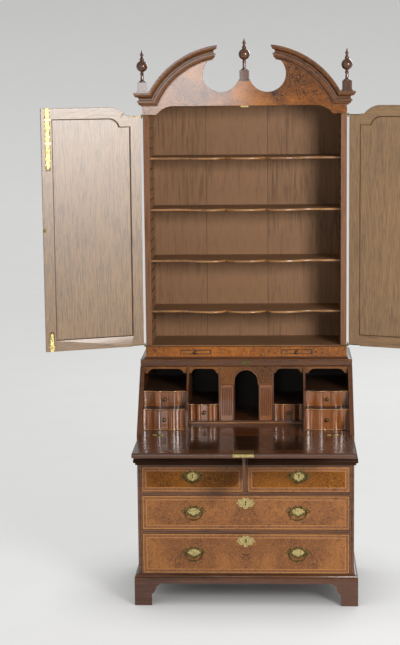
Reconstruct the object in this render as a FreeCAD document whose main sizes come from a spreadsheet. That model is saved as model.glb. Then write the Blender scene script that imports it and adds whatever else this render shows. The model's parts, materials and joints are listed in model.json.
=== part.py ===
import FreeCAD, Part
import Sketcher
import os
import re

# Bureau cabinet with a sloping fall, a fitted writing interior and a two-door bookcase.
# The part stands on the floor: x runs to the right, y to the back, z up, in millimetres.
# In this file y is counted from the front plane of the drawer case. SHIFT moves the whole
# part so that the origin is in the middle of its depth with the fall down.

SIZES = {
    # Drawer case
    "case_width": 950,
    "case_depth": 572,
    "side_thickness": 20,
    "case_underside": 100,
    "base_board": 18,
    "back_thickness": 12,
    "bed_thickness": 18,
    "slope_run": 257,
    "slope_rise": 280,
    "slope_clearance": 0.8,
    "desk_top_rise": 10,
    "desk_top_thickness": 30,
    # Drawer openings, from the bottom up
    "case_bottom": 45,
    "lower_drawer_height": 177,
    "low_rail": 22,
    "upper_drawer_height": 150,
    "middle_rail": 20,
    "short_drawer_height": 110,
    "top_divider": 18,
    "front_rail_height": 107,
    "muntin_width": 20,
    "front_rail": 20,
    # Large drawers
    "drawer_gap": 1,
    "drawer_front": 20,
    "drawer_back_gap": 80,
    "drawer_wall": 10,
    "drawer_bottom": 7,
    "drawer_side_drop": 14,
    "bead_width": 5,
    "bead_rise": 2,
    # Mouldings of the case
    "base_mould_lift": 13,
    "base_mould_height": 30,
    "base_mould_out": 18,
    "waist_mould_lift": 10,
    "waist_mould_height": 30,
    "waist_mould_out": 16,
    # Bracket feet
    "foot_length": 75,
    "foot_riser_share": 0.5,
    "bracket_reach": 38,
    "bracket_cusp_share": 0.86,
    "bracket_bow": 5,
    "cusp_low_share": 0.55,
    "cusp_high_share": 0.45,
    "rear_foot_length": 60,
    "glue_block": 42,
    "glue_block_lift": 3,
    # Support slide under the fall
    "loper_width": 12,
    "loper_height": 168,
    "loper_back_gap": 80,
    "loper_drawn_share": 0.583,
    "loper_play": 0.5,
    # Fall
    "fall_cover": 10,
    "fall_end_gap": 6,
    "fall_thickness": 18,
    "fall_gap": 0.5,
    "fall_edge_round": 7,
    "lock_width": 88,
    "lock_reach": 75,
    "lock_depth": 2,
    "hinge_width": 48,
    "hinge_reach": 22,
    "hinge_leaf": 2,
    "hinge_inset": 94,
    "knuckle_radius": 2.6,
    "knuckle_room": 3.4,
    "knuckle_gap": 0.4,
    "hinge_pin_radius": 1.1,
    "hinge_pin_play": 0.3,
    "catch_width": 40,
    "catch_height": 18,
    "catch_drop": 4,
    # Writing interior
    "step_reach": 29,
    "step_height": 17,
    "step_round": 6,
    "fitting_clearance": 3.6,
    "fitting_back_gap": 15,
    "outer_place_share": 0.5714,
    "outer_partition": 10,
    "inner_place_share": 0.2637,
    "inner_partition": 8,
    "scallop_depth": 9,
    "lower_tier_rise": 90,
    "upper_tier_rise": 159,
    "inner_tier_rise": 82,
    "pigeon_shelf": 5,
    "tier_setback": 6,
    "small_front": 14,
    "small_wall": 5,
    "small_gap": 1,
    "lobe_rise": 5.5,
    "lobe_share": 0.46,
    "block_width": 28,
    "shelf_lip": 3,
    "small_drop": 6,
    "small_knob_radius": 8,
    "small_knob_neck": 3,
    "small_knob_length": 13,
    "valance_thickness": 6,
    "valance_low": 30,
    "valance_mid": 10,
    "valance_end_share": 0.07,
    "valance_flat_share": 0.2,
    "valance_bow_share": 0.3,
    "niche_share": 0.45,
    "niche_wall": 4,
    "arch_spring_drop": 69,
    "arch_board_drop": 82,
    "arch_board": 11,
    "arch_rise_share": 0.999,
    "pilaster_front": 14,
    "pilaster_cap": 9,
    "pilaster_cap_out": 3,
    "pilaster_base": 13,
    "flute_width_share": 0.62,
    "flute_depth": 2,
    "flute_count": 6,
    "flute_end_share": 0.49,
    # Upper cabinet
    "cabinet_inset": 25,
    "cabinet_front_gap": 1,
    "cabinet_side": 26,
    "cabinet_floor_lift": 4,
    "cabinet_board": 14,
    "frieze_height": 57,
    "mid_mould_height": 14,
    "mid_mould_out": 20,
    "slide_place_share": 0.2511,
    "slide_width": 136,
    "slide_height": 20,
    "slide_lift": 24,
    "slide_back_gap": 87,
    "slide_gap": 0.6,
    "slide_knob_radius": 5,
    "slide_knob_length": 12,
    "bearer_width": 20,
    "groove_height": 10.6,
    "groove_depth": 6,
    "groove_first_rise": 48.6,
    "groove_count": 21,
    "groove_end_share": 0.378,
    "groove_stop": 30,
    "shelf_thickness": 10,
    "shelf_first_groove": 2,
    "shelf_groove_step": 5,
    "shelf_setback": 58,
    "shelf_wave": 50,
    "shelf_bow_share": 0.9,
    "shelf_end_play": 1,
    "seam_left_share": 0.2044,
    "seam_right_share": 0.1089,
    # Head of the cabinet
    "head_thickness": 24,
    "door_height": 1036,
    "shoulder_rise": 37,
    "head_flat_share": 0.3467,
    "shoulder_end_share": 0.4311,
    "cornice_drop": 1,
    "cornice_height": 60,
    "cornice_out": 36,
    "cornice_cap": 14,
    "cornice_seat_gap": 0.5,
    "arch_centre_share": 0.0778,
    "arch_drop_share": 0.2144,
    "arch_radius_share": 0.4444,
    "arch_inner_angle": 78,
    "return_angle": 8,
    "arch_outer_angle": 16,
    "round_centre_share": 0.1133,
    "round_rise_share": 0.0889,
    "round_radius_share": 0.0889,
    "platform_half": 29,
    "platform_rise_share": 0.0533,
    "cut_end_share": 0.1689,
    "cut_rise_share": 0.1556,
    # Finials
    "plinth_width": 42,
    "plinth_height": 46,
    "plinth_inset": 2,
    "plinth_cap": 7,
    "plinth_cap_out": 4,
    "plinth_back": 14,
    "finial_height": 142,
    "finial_ball": 25,
    # Doors
    "door_thickness": 23.4,
    "door_gap": 2,
    "door_face_gap": 0.3,
    "shoulder_gap": 6.5,
    "meeting_gap": 1.4,
    "hinge_out": 5,
    "door_open_angle": 158,
    "door_stile": 56,
    "door_lap": 6,
    "door_lip": 6,
    "rebate_width": 8,
    "mirror_thickness": 4,
    "panel_thickness": 7,
    "glass_gap": 0.5,
    "pivot_arm": 3,
    "pivot_arm_length": 27,
    "pivot_arm_width": 16,
    "pivot_boss": 4.8,
    "pivot_pin": 2.5,
    "pivot_pin_length": 16,
    "pivot_play": 0.4,
    "pivot_notch_length": 52,
    "pivot_notch_height": 6.2,
    "pivot_plate": 3.4,
    # Bolts on the left door
    "bolt_place": 28,
    "bolt_width": 14,
    "bolt_bar": 4,
    "bolt_plate": 2,
    "bolt_plate_width": 24,
    "bolt_top_length": 270,
    "bolt_low_length": 88,
    "bolt_travel": 12,
    "bolt_play": 0.4,
    "bolt_knob_radius": 4,
    "bolt_knob_length": 9,
    "bolt_knob_share": 0.3,
    "strike_width": 12,
    "strike_height": 24,
    "door_lock_width": 46,
    "door_lock_height": 110,
    "door_lock_depth": 10,
    "lock_place_share": 0.524,
    # Brass of the drawers
    "handle_place_share": 0.5033,
    "plate_width": 112,
    "plate_height": 58,
    "plate_thickness": 1.6,
    "bail_radius": 33,
    "bail_wire": 2.4,
    "bail_side_gap": 1.2,
    "post_radius": 3.6,
    "post_length": 9,
    "post_nose": 4.6,
    "bail_pin": 1.4,
    "bail_pin_play": 0.4,
    "bail_pin_length": 3.6,
    "keyhole_radius": 2.6,
    "keyhole_rise": 12,
    "escutcheon_width": 84,
    "escutcheon_height": 50,
    "lock_drop": 33,
    "short_lock_drop": 37,
    # Shared by several pieces
    "quarter_round_share": 0.29,
    "cut_over": 5,
}

doc = FreeCAD.newDocument("escritoire")
sheet = doc.addObject("Spreadsheet::Sheet", "Sizes")
for row, (alias, size) in enumerate(SIZES.items(), start=1):
    sheet.set(f"A{row}", alias)
    sheet.set(f"B{row}", str(size))
    sheet.setAlias(f"B{row}", alias)
doc.recompute()

ALIAS = re.compile(r"\b([a-z]+(?:_[a-z]+)+)\b")
NODES = []
X_AXIS = FreeCAD.Vector(1, 0, 0)
Y_AXIS = FreeCAD.Vector(0, 1, 0)
Z_AXIS = FreeCAD.Vector(0, 0, 1)

# Places that follow from the sizes, from the floor up and from the front to the back
PLACES = {
    "lower_opening_low": "case_underside + case_bottom",
    "lower_opening_high": "lower_opening_low + lower_drawer_height",
    "upper_opening_low": "lower_opening_high + low_rail",
    "upper_opening_high": "upper_opening_low + upper_drawer_height",
    "short_opening_low": "upper_opening_high + middle_rail",
    "short_opening_high": "short_opening_low + short_drawer_height",
    "bed_height": "short_opening_high + top_divider + front_rail_height + bed_thickness",
    "desk_top_height": "bed_height + slope_rise + desk_top_rise",
    "base_mould_low": "case_underside + base_mould_lift",
    "waist_mould_low": "short_opening_high + waist_mould_lift",
    "foot_riser": "case_underside * foot_riser_share",
    "bracket_cusp": "case_underside * bracket_cusp_share",
    "inside_half": "case_width / 2 - side_thickness",
    "inside_depth": "case_depth - back_thickness",
    "drawer_length": "inside_depth - drawer_back_gap",
    "handle_place": "inside_half * handle_place_share",
    "short_handle_place": "(muntin_width / 2 + inside_half) / 2",
    "loper_length": "inside_depth - loper_back_gap",
    "loper_drawn": "loper_length * loper_drawn_share",
    "fall_width": "2 * (inside_half + fall_cover)",
    "fall_length": "sqrt(slope_run^2 + slope_rise^2) - fall_end_gap",
    "hinge_place": "case_width / 2 - hinge_inset",
    "slope_ratio": "slope_run / slope_rise",
    "fitting_height": "slope_rise + desk_top_rise - desk_top_thickness",
    "inner_front": "fitting_height * slope_ratio + slope_clearance + fitting_clearance",
    "partition_front": "lower_tier_rise * slope_ratio + slope_clearance + fitting_clearance",
    "partition_mid_front": "upper_tier_rise * slope_ratio + slope_clearance + fitting_clearance",
    "lower_tier_front": "(lower_tier_rise + pigeon_shelf) * slope_ratio + slope_clearance + tier_setback",
    "upper_tier_front": "(upper_tier_rise + pigeon_shelf) * slope_ratio + slope_clearance + tier_setback",
    "step_front": "inner_front - step_reach",
    "fitting_back": "inside_depth - fitting_back_gap",
    "lower_tier_high": "bed_height + lower_tier_rise",
    "upper_tier_high": "bed_height + upper_tier_rise",
    "inner_tier_high": "bed_height + inner_tier_rise",
    "outer_partition_place": "inside_half * outer_place_share",
    "inner_partition_place": "inside_half * inner_place_share",
    "niche_half": "inner_partition_place * niche_share",
    "niche_outside": "niche_half + niche_wall",
    "box_width": "inner_partition_place - inner_partition / 2 - niche_outside - 2 * small_gap",
    "flute_pitch": "box_width / (flute_count + 1)",
    "flute_width": "flute_pitch * flute_width_share",
    "arch_spring": "bed_height + fitting_height - arch_spring_drop",
    "arch_board_low": "bed_height + fitting_height - arch_board_drop",
    "cabinet_width": "case_width - 2 * cabinet_inset",
    "cabinet_front": "slope_run + cabinet_front_gap",
    "frieze_top": "desk_top_height + frieze_height",
    "cabinet_floor": "frieze_top + cabinet_floor_lift",
    "slide_place": "cabinet_width * slide_place_share",
    "slide_low": "desk_top_height + slide_lift",
    "slide_length": "inside_depth - cabinet_front - slide_back_gap",
    "groove_first": "cabinet_floor + groove_first_rise",
    "groove_pitch": "(head_shoulder - groove_first) / (groove_count + groove_end_share)",
    "shelf_front": "cabinet_front + head_thickness + shelf_setback",
    "plank_seam_left": "cabinet_width * seam_left_share",
    "plank_seam_right": "cabinet_width * seam_right_share",
    "head_shoulder": "frieze_top + door_height",
    "head_arch": "head_shoulder + shoulder_rise",
    "head_flat": "cabinet_width * head_flat_share",
    "head_shoulder_end": "cabinet_width * shoulder_end_share",
    "cornice_low": "head_arch - cornice_drop",
    "cornice_top": "cornice_low + cornice_height",
    "arch_centre_x": "cabinet_width * arch_centre_share",
    "arch_centre_z": "cornice_top - cabinet_width * arch_drop_share",
    "arch_radius": "cabinet_width * arch_radius_share",
    "round_centre_x": "cabinet_width * round_centre_share",
    "round_centre_z": "cornice_top + cabinet_width * round_rise_share",
    "round_radius": "cabinet_width * round_radius_share",
    "platform_height": "cornice_top + cabinet_width * platform_rise_share",
    "cut_end_x": "cabinet_width * cut_end_share",
    "cut_end_z": "cornice_top + cabinet_width * cut_rise_share",
    "plinth_place": "cabinet_width / 2 - plinth_inset",
    "door_lock_height_place": "frieze_top + door_height * lock_place_share",
}

# The same for places that are used as whole formulas
SHIFT = "((case_depth - fall_length - fall_gap) / 2)"
HALF = "(case_width / 2)"
INSIDE = "inside_half"
BACK = "inside_depth"
DESK_CEILING = "(desk_top_height - desk_top_thickness)"
SLOPE_TOP = f"(({DESK_CEILING} - bed_height) * slope_run / slope_rise + slope_clearance)"
BED_UNDER = "(bed_height - bed_thickness)"
STEP_TOP = "(bed_height + step_height)"
CABINET_HALF = "(cabinet_width / 2)"
CABINET_INSIDE = "(cabinet_width / 2 - cabinet_side)"
DOOR_PLANE = "(cabinet_front + head_thickness)"
CORNICE_TOP = "cornice_top"
HEAD_TOP = "(cornice_top - cornice_cap)"
DOOR_LOW = "(frieze_top + door_gap)"
DOOR_REACH = "(cabinet_width / 2 + hinge_out)"
DOOR_WIDTH = "(cabinet_width / 2 + hinge_out + door_lap / 2 - meeting_gap / 2)"
SHOULDER_RISE = "shoulder_rise"
SHOULDER_RUN = "(head_shoulder_end - head_flat)"
SHOULDER_RADIUS = f"(({SHOULDER_RUN}^2 + {SHOULDER_RISE}^2) / (2 * {SHOULDER_RISE}))"
OUTER_LOW = "(outer_partition_place + outer_partition / 2)"
OUTER_NEAR = "(outer_partition_place - outer_partition / 2)"
INNER_LOW = "(inner_partition_place - inner_partition / 2)"
INNER_HIGH = "(inner_partition_place + inner_partition / 2)"
POST_PLACE = "(bail_radius + bail_wire + bail_side_gap + post_radius)"
PIVOT_Y = "(-plate_thickness - post_nose)"

# Outlines as shares of the sizes that they follow: across, up and the height of the arc
WAIST_SHARES = (
    (0.00, 0.00, 0),
    (0.50, 0.00, 0),
    (0.50, 0.30, -0.28),
    (1.00, 0.70, 0),
    (1.00, 0.90, 0.06),
    (0.80, 1.00, 0),
    (0.00, 1.00, 0),
)
BASE_SHARES = (
    (0.00, 0.00, 0),
    (1.00, 0.00, 0),
    (1.00, 0.43, 0),
    (0.80, 0.43, -0.25),
    (0.25, 0.89, 0),
    (0.25, 1.00, 0),
    (0.00, 1.00, 0),
)
MID_SHARES = (
    (0.00, 0.00, 0),
    (1.00, 0.00, 0),
    (1.00, 0.28, 0.12),
    (0.20, 0.86, 0),
    (0.20, 1.00, 0),
    (0.00, 1.00, 0),
)
WING_SHARES = (
    (0.14, 0.78, 0.02),
    (0.24, 1.00, 0.03),
    (0.44, 0.70, -0.04),
    (0.76, 0.90, 0.06),
    (1.00, 0.28, 0),
    (0.82, -0.10, -0.05),
    (0.60, -0.58, 0.03),
    (0.30, -0.60, -0.03),
    (0.14, -1.00, 0),
)
SHELF_SHARES = (
    (0.215, 0.16, -0.24),
    (0.373, -0.68, -0.10),
    (0.557, -0.28, 0.22),
    (0.826, 0.00, 0),
)
CORNICE_SHARES = (
    (0.00, 0.00, 0),
    (0.14, 0.00, 0),
    (0.14, 0.08, -0.10),
    (0.48, 0.30, 0),
    (0.60, 0.30, 0),
    (0.60, 0.42, 0),
    (0.40, 0.46, 0),
    (0.40, 0.54, 0.10),
    (0.66, 0.68, -0.06),
    (0.92, 0.86, 0),
    (1.00, 0.86, 0),
    (1.00, 1.00, 0),
)
FINIAL_SHARES = (
    (0.00, 0.000, 0),
    (0.62, 0.000, 0),
    (0.62, 0.030, 0.12),
    (0.30, 0.110, 0),
    (0.26, 0.215, -0.10),
    (0.26, 0.285, 0),
    (0.30, 0.325, -0.68),
    (0.34, 0.655, 0),
    (0.40, 0.680, -0.06),
    (0.30, 0.730, 0),
    (0.20, 0.800, -0.14),
    (0.20, 0.880, 0),
    (0.00, 1.000, 0),
)


def expression(text):
    """Write a formula in cells of the sheet, with the places that follow from them worked in."""
    def cell(found):
        name = found.group(1)
        return f"({expression(PLACES[name])})" if name in PLACES else f"Sizes.{name}"

    return ALIAS.sub(cell, text)


def value(text):
    """Work out a formula of the sheet's sizes as a number."""
    result = sheet.evalExpression(expression(text))
    return float(getattr(result, "Value", result))


def bind(item, prop, text):
    item.setExpression(prop, expression(text))


def place(item, x="0", y="0", z="0"):
    """Put an item at a place in the frame, with y counted from the front of the case."""
    bind(item, "Placement.Base.x", x)
    bind(item, "Placement.Base.y", f"({y}) - {SHIFT}")
    bind(item, "Placement.Base.z", z)
    return item


def turn(item, axis, degrees):
    """Turn an item about an axis through its own origin."""
    item.Placement = FreeCAD.Placement(FreeCAD.Vector(), FreeCAD.Rotation(axis, 1))
    bind(item, "Placement.Rotation.Angle", f"({degrees}) * 1 deg")
    return item


def box(name, xs, ys, zs, local=False):
    """A board between two places along each axis."""
    item = doc.addObject("Part::Box", name)
    for prop, (low, high) in zip(("Length", "Width", "Height"), (xs, ys, zs)):
        bind(item, prop, f"({high}) - ({low})")
    if local:
        for letter, (low, high) in zip("xyz", (xs, ys, zs)):
            bind(item, f"Placement.Base.{letter}", low)
        return item
    return place(item, xs[0], ys[0], zs[0])


def rod(name, radius, length, axis, x, y, z, local=False):
    """A round bar that starts at a place and runs along an axis."""
    item = doc.addObject("Part::Cylinder", name)
    bind(item, "Radius", radius)
    bind(item, "Height", length)
    item.Placement = FreeCAD.Placement(FreeCAD.Vector(), FreeCAD.Rotation(Z_AXIS, axis))
    if local:
        for letter, text in zip("xyz", (x, y, z)):
            bind(item, f"Placement.Base.{letter}", text)
        return item
    return place(item, x, y, z)


def cut(name, base, tool):
    item = doc.addObject("Part::Cut", name)
    item.Base = base
    item.Tool = tool
    return item


def fuse(name, *items):
    item = doc.addObject("Part::MultiFuse", name)
    item.Shapes = list(items)
    return item


def group(name, *items):
    item = doc.addObject("Part::Compound", name)
    item.Links = list(items)
    return item


def mirrored(name, source):
    """The same piece on the other side of the middle plane."""
    item = doc.addObject("Part::Mirroring", name)
    item.Source = source
    item.Base = FreeCAD.Vector()
    item.Normal = X_AXIS
    return item


def node(label, *items):
    """Name a finished sub-part. Several items become one group of separate solids."""
    item = items[0] if len(items) == 1 else group(label + "_group", *items)
    item.Label = label
    NODES.append(item)
    return item


def new_body(name):
    return doc.addObject("PartDesign::Body", name)


def origin_feature(body, role):
    return next(part for part in body.Origin.OriginFeatures if part.Role == role)


def new_sketch(body, role, name, offset="0"):
    """A sketch on one of the body's own planes, moved along the plane's normal."""
    sketch = body.newObject("Sketcher::SketchObject", name)
    sketch.AttachmentSupport = (origin_feature(body, role), [""])
    sketch.MapMode = "FlatFace"
    bind(sketch, "AttachmentOffset.Base.z", offset)
    return sketch


def fix_point(sketch, geometry, end, x, y):
    """Hold one end of a line or arc at a place given by two formulas."""
    for kind, text in (("DistanceX", x), ("DistanceY", y)):
        rule = Sketcher.Constraint(kind, -1, 1, geometry, end, value(text))
        bind(sketch, f"Constraints[{sketch.addConstraint(rule)}]", text)


def draw(sketch, points, closed=True):
    """Draw an outline. A point is x, y and, where an arc runs on to the next point, the
    height of that arc over its chord, positive to the left of the way drawn."""
    following = points[1:] + points[:1] if closed else points[1:]
    pieces = []
    for start, stop in zip(points, following):
        first = FreeCAD.Vector(value(start[0]), value(start[1]), 0)
        last = FreeCAD.Vector(value(stop[0]), value(stop[1]), 0)
        if len(start) == 2:
            line = sketch.addGeometry(Part.LineSegment(first, last), False)
            pieces.append((line, 1, 2))
            continue
        bow = value(start[2])
        chord = last - first
        left = FreeCAD.Vector(-chord.y, chord.x, 0).normalize()
        middle = (first + last) / 2 + left * bow
        arc = sketch.addGeometry(Part.Arc(first, middle, last), False)
        pieces.append((arc, 2, 1) if bow > 0 else (arc, 1, 2))
    meetings = list(zip(pieces, pieces[1:] + pieces[:1] if closed else pieces[1:]))
    for (one, _, stop), (other, start, _) in meetings:
        sketch.addConstraint(Sketcher.Constraint("Coincident", one, stop, other, start))
    for (geometry, start, _), point in zip(pieces, points):
        fix_point(sketch, geometry, start, point[0], point[1])
    if not closed:
        fix_point(sketch, pieces[-1][0], pieces[-1][2], points[-1][0], points[-1][1])
    for (geometry, _, _), start, stop in zip(pieces, points, following):
        if len(start) == 3:
            chord = f"((({stop[0]}) - ({start[0]}))^2 + (({stop[1]}) - ({start[1]}))^2)"
            radius = f"{chord} / (8 * abs({start[2]})) + abs({start[2]}) / 2"
            rule = Sketcher.Constraint("Radius", geometry, value(radius))
            bind(sketch, f"Constraints[{sketch.addConstraint(rule)}]", radius)
    return sketch


def draw_circle(sketch, x, y, radius):
    centre = FreeCAD.Vector(value(x), value(y), 0)
    circle = sketch.addGeometry(Part.Circle(centre, Z_AXIS, value(radius)), False)
    fix_point(sketch, circle, 3, x, y)
    rule = Sketcher.Constraint("Radius", circle, value(radius))
    bind(sketch, f"Constraints[{sketch.addConstraint(rule)}]", radius)


def pad(name, role, points, length, start="0"):
    """A body padded from an outline, along the plane's normal."""
    body = new_body(name)
    sketch = draw(new_sketch(body, role, name + "_outline", start), points)
    feature = body.newObject("PartDesign::Pad", name + "_pad")
    feature.Profile = sketch
    bind(feature, "Length", length)
    return body


def pocket(body, name, role, points, depth=None, start="0", reverse=False):
    """Cut an outline out of a body, to a depth or right through."""
    sketch = draw(new_sketch(body, role, name + "_outline", start), points)
    return pocket_sketch(body, name, sketch, depth, reverse)


def pocket_sketch(body, name, sketch, depth=None, reverse=False):
    feature = body.newObject("PartDesign::Pocket", name)
    feature.Profile = sketch
    feature.Reversed = reverse
    if depth is None:
        feature.Type = "ThroughAll"
        feature.Midplane = True
    else:
        bind(feature, "Length", depth)
    return feature


def rectangle(x0, x1, y0, y1):
    return [(x0, y0), (x1, y0), (x1, y1), (x0, y1)]


def both_sides(points, closing=None):
    """An outline drawn on the right of the middle, completed on the left. The line that
    closes it across the middle can be an arc."""
    left = []
    for index in range(len(points) - 1, -1, -1):
        x, y = points[index][0], points[index][1]
        bow = points[index - 1][2:] if index else ()
        left.append((f"-({x})", y) + bow)
    if closing:
        left[-1] += (closing,)
    return points + left


def section(shares, out, low, height):
    """A section given as shares of how far it stands out and how high it is."""
    points = []
    for out_share, up_share, bow_share in shares:
        point = (f"{out_share} * {out}", f"{low} + {up_share} * {height}")
        points.append(point + ((f"{bow_share} * {out}",) if bow_share else ()))
    return points


def moulding(name, half, path, profile):
    """A moulding run round a corner. The profile is a list of distance out and height."""
    body = new_body(name)
    spine = draw(new_sketch(body, "XY_Plane", name + "_path"), path, closed=False)
    outline = new_sketch(body, "XZ_Plane", name + "_profile", f"-({path[0][1]})")
    draw(outline, [(f"{half} + ({p[0]})", p[1]) + tuple(p[2:]) for p in profile])
    pipe = body.newObject("PartDesign::AdditivePipe", name + "_run")
    pipe.Profile = (outline, [""])
    pipe.Spine = (spine, [""])
    pipe.Transition = "Right corner"
    return place(body)


def drawer_case():
    """Sides with the sloping front, bottom, dividers, back and the housing of the loper."""
    outline = [
        ("0", "case_underside"),
        ("case_depth", "case_underside"),
        ("case_depth", DESK_CEILING),
        (SLOPE_TOP, DESK_CEILING),
        ("slope_clearance", "bed_height"),
        ("0", "bed_height"),
    ]
    right = place(pad("case_side_right", "YZ_Plane", outline, "side_thickness"), INSIDE)
    node("case_sides", right, mirrored("case_side_left", right))

    across = (f"-{INSIDE}", INSIDE)
    deep = ("0", BACK)
    base = box("case_bottom", across, deep, ("case_underside", "lower_opening_low"))
    low = box("low_divider", across, deep, ("lower_opening_high", "upper_opening_low"))
    middle = box("middle_divider", across, deep, ("upper_opening_high", "short_opening_low"))
    right_top = box("top_divider_right", ("muntin_width / 2", INSIDE), deep,
                    ("short_opening_high", "short_opening_high + top_divider"))
    left_top = mirrored("top_divider_left", right_top)
    node("drawer_dividers", base, low, middle, right_top, left_top)

    # The muntin between the short drawers is slotted from above for the loper.
    channel = "loper_width / 2 + loper_play"
    channel_floor = f"{BED_UNDER} - loper_height - loper_play"
    slotted = both_sides([
        (channel, channel_floor),
        (channel, BED_UNDER),
        ("muntin_width / 2", BED_UNDER),
        ("muntin_width / 2", "short_opening_low"),
    ])
    muntin = place(pad("muntin", "XZ_Plane", slotted, BACK), "0", BACK)
    rail = box("front_rail_right", ("muntin_width / 2", INSIDE), ("0", "front_rail"),
               ("short_opening_high + top_divider", BED_UNDER))
    node("loper_housing", muntin, rail, mirrored("front_rail_left", rail))

    third = f"({INSIDE} * 2 / 3)"
    planks = []
    for index in range(3):
        left = f"-{INSIDE} + {index} * {third}"
        planks.append(box(f"case_plank_{index}", (left, f"{left} + {third}"), (BACK, "case_depth"),
                          ("case_underside", DESK_CEILING)))
    node("case_backboards", *planks)
    node("desk_top_board", box("desk_top", (f"-{HALF}", HALF), ("cabinet_front", "case_depth"),
                               (DESK_CEILING, "desk_top_height")))


def writing_bed():
    """The fixed bed, notched for the fall's hinges, and the moulded step on it."""
    bed = box("bed", (f"-{INSIDE}", INSIDE), ("0", BACK), (BED_UNDER, "bed_height"))
    leaf = hinge_recesses("bed_recess", "0", "hinge_reach")
    step_outline = [
        (f"{BACK}", "bed_height"),
        (f"{BACK}", STEP_TOP),
        ("step_front + step_round", STEP_TOP, "step_round * quarter_round_share"),
        ("step_front", f"{STEP_TOP} - step_round"),
        ("step_front", "bed_height"),
    ]
    step = place(pad("step", "YZ_Plane", step_outline, f"2 * {OUTER_NEAR}"), f"-{OUTER_NEAR}")
    node("writing_bed", cut("bed_board", bed, leaf), step)


def hinge_recesses(name, near, far):
    """Beds for the two hinge leaves and room for their knuckles, as one tool."""
    tools = []
    for index, side in enumerate((-1, 1)):
        middle = f"{side} * hinge_place"
        across = (f"{middle} - hinge_width / 2", f"{middle} + hinge_width / 2")
        tools.append(box(f"{name}_leaf_{index}", across, (near, far),
                         ("bed_height - hinge_leaf", "bed_height + cut_over")))
        tools.append(box(f"{name}_knuckle_{index}", across, ("-knuckle_room", "knuckle_room"),
                         ("bed_height - knuckle_room", "bed_height + cut_over")))
    return fuse(name, *tools)


def case_mouldings():
    """The waist moulding in two halves either side of the loper, and the base moulding."""
    waist = section(WAIST_SHARES, "waist_mould_out", "waist_mould_low", "waist_mould_height")
    path = [(HALF, "case_depth"), (HALF, "0"), ("muntin_width / 2", "0")]
    right = moulding("waist_right", HALF, path, waist)
    node("waist_moulding", right, mirrored("waist_left", right))

    base = section(BASE_SHARES, "base_mould_out", "base_mould_low", "base_mould_height")
    path = [(HALF, "case_depth"), (HALF, "0"), (f"-{HALF}", "0"), (f"-{HALF}", "case_depth")]
    node("base_moulding", moulding("base_run", HALF, path, base))


def bracket(end, sign):
    """One bracket foot from its outer end to the apron, as points along the board."""
    step = "-" if sign > 0 else "+"
    return [
        (end, "0"),
        (f"{end} {step} foot_length", "0"),
        (f"{end} {step} foot_length", "foot_riser", f"{sign} * bracket_bow"),
        (f"{end} {step} (foot_length + bracket_reach * cusp_low_share)", "bracket_cusp"),
        (f"{end} {step} (foot_length + bracket_reach * cusp_high_share)", "bracket_cusp",
         f"{sign} * bracket_bow / 2"),
        (f"{end} {step} (foot_length + bracket_reach)", "case_underside"),
    ]


def bracket_feet():
    """Plinth boards cut to bracket feet on the front and sides, rear feet and glue blocks."""
    reach = f"({HALF} + base_board)"
    front_points = bracket_board(f"-{reach}", reach)
    board = place(pad("front_plinth", "XZ_Plane", front_points, "base_board"), "0", "0")
    side = pad("side_plinth", "YZ_Plane", bracket_board("0", "case_depth"), "base_board")
    place(side, HALF)
    rear_points = [
        (HALF, "0"),
        (HALF, "case_underside"),
        (f"{HALF} - rear_foot_length - bracket_reach", "case_underside", "-bracket_bow"),
        (f"{HALF} - rear_foot_length", "foot_riser"),
        (f"{HALF} - rear_foot_length", "0"),
    ]
    rear = place(pad("rear_foot", "XZ_Plane", rear_points, "base_board"), "0", "case_depth")
    blocks = []
    for index, near in enumerate(("0", "case_depth - base_board - glue_block")):
        blocks.append(box(f"glue_block_{index}", (f"{HALF} - glue_block", HALF),
                          (near, f"{near} + glue_block"), ("glue_block_lift", "case_underside")))
    right = [side, rear] + blocks
    left = [mirrored(f"left_{item.Name}", item) for item in right]
    node("bracket_feet", board, *right, *left)


def bracket_board(first, last):
    """The outline of a plinth board with a bracket foot at each end."""
    near = bracket(first, -1)
    far = bracket(last, 1)
    back = []
    for index in range(len(far) - 1, -1, -1):
        bow = far[index - 1][2:] if index else ()
        back.append(far[index][:2] + tuple(f"-({text})" for text in bow))
    top = [(last, "base_mould_low"), (first, "base_mould_low")]
    return near + back + top


def serpentine(left, right, near):
    """The front edge of a small drawer or shelf: hollow, lobe, flat block, lobe, hollow."""
    middle = f"(({left}) + ({right})) / 2"
    half = "block_width / 2"
    lobe = f"lobe_share * ((({right}) - ({left})) / 2 - {half})"
    return [
        (left, near, "lobe_rise"),
        (f"{middle} - {half} - {lobe}", near, "-lobe_rise"),
        (f"{middle} - {half}", near),
        (f"{middle} + {half}", near, "-lobe_rise"),
        (f"{middle} + {half} + {lobe}", near, "lobe_rise"),
        (right, near),
    ]


def small_drawer(name, xs, zs, front):
    """A small drawer with a serpentine front, a box and a turned knob."""
    low, high = (zs[0], f"{zs[1]} - small_gap")
    left, right = (f"{xs[0]} + small_gap", f"{xs[1]} - small_gap")
    middle = f"({xs[0]} + {xs[1]}) / 2"
    near = f"{front} + lobe_rise + shelf_lip"
    behind = f"{near} + small_front"
    outline = [(right, behind), (left, behind)] + serpentine(left, right, near)
    face = place(pad(f"{name}_face", "XY_Plane", outline, f"({high}) - ({low})"), "0", "0", low)
    box_top = f"{high} - small_drop"
    deep = (behind, "fitting_back")
    walls = drawer_walls(name, (left, right), deep, (low, box_top), "small_wall", "small_wall")
    knob_z = f"({zs[0]} + {zs[1]}) / 2"
    neck = rod(f"{name}_neck", "small_knob_neck", "small_knob_length", -Y_AXIS, middle, near, knob_z)
    head = doc.addObject("Part::Sphere", f"{name}_head")
    bind(head, "Radius", "small_knob_radius")
    place(head, middle, f"{near} - small_knob_length", knob_z)
    node(name, face, *walls, fuse(f"{name}_knob", neck, head))


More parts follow.
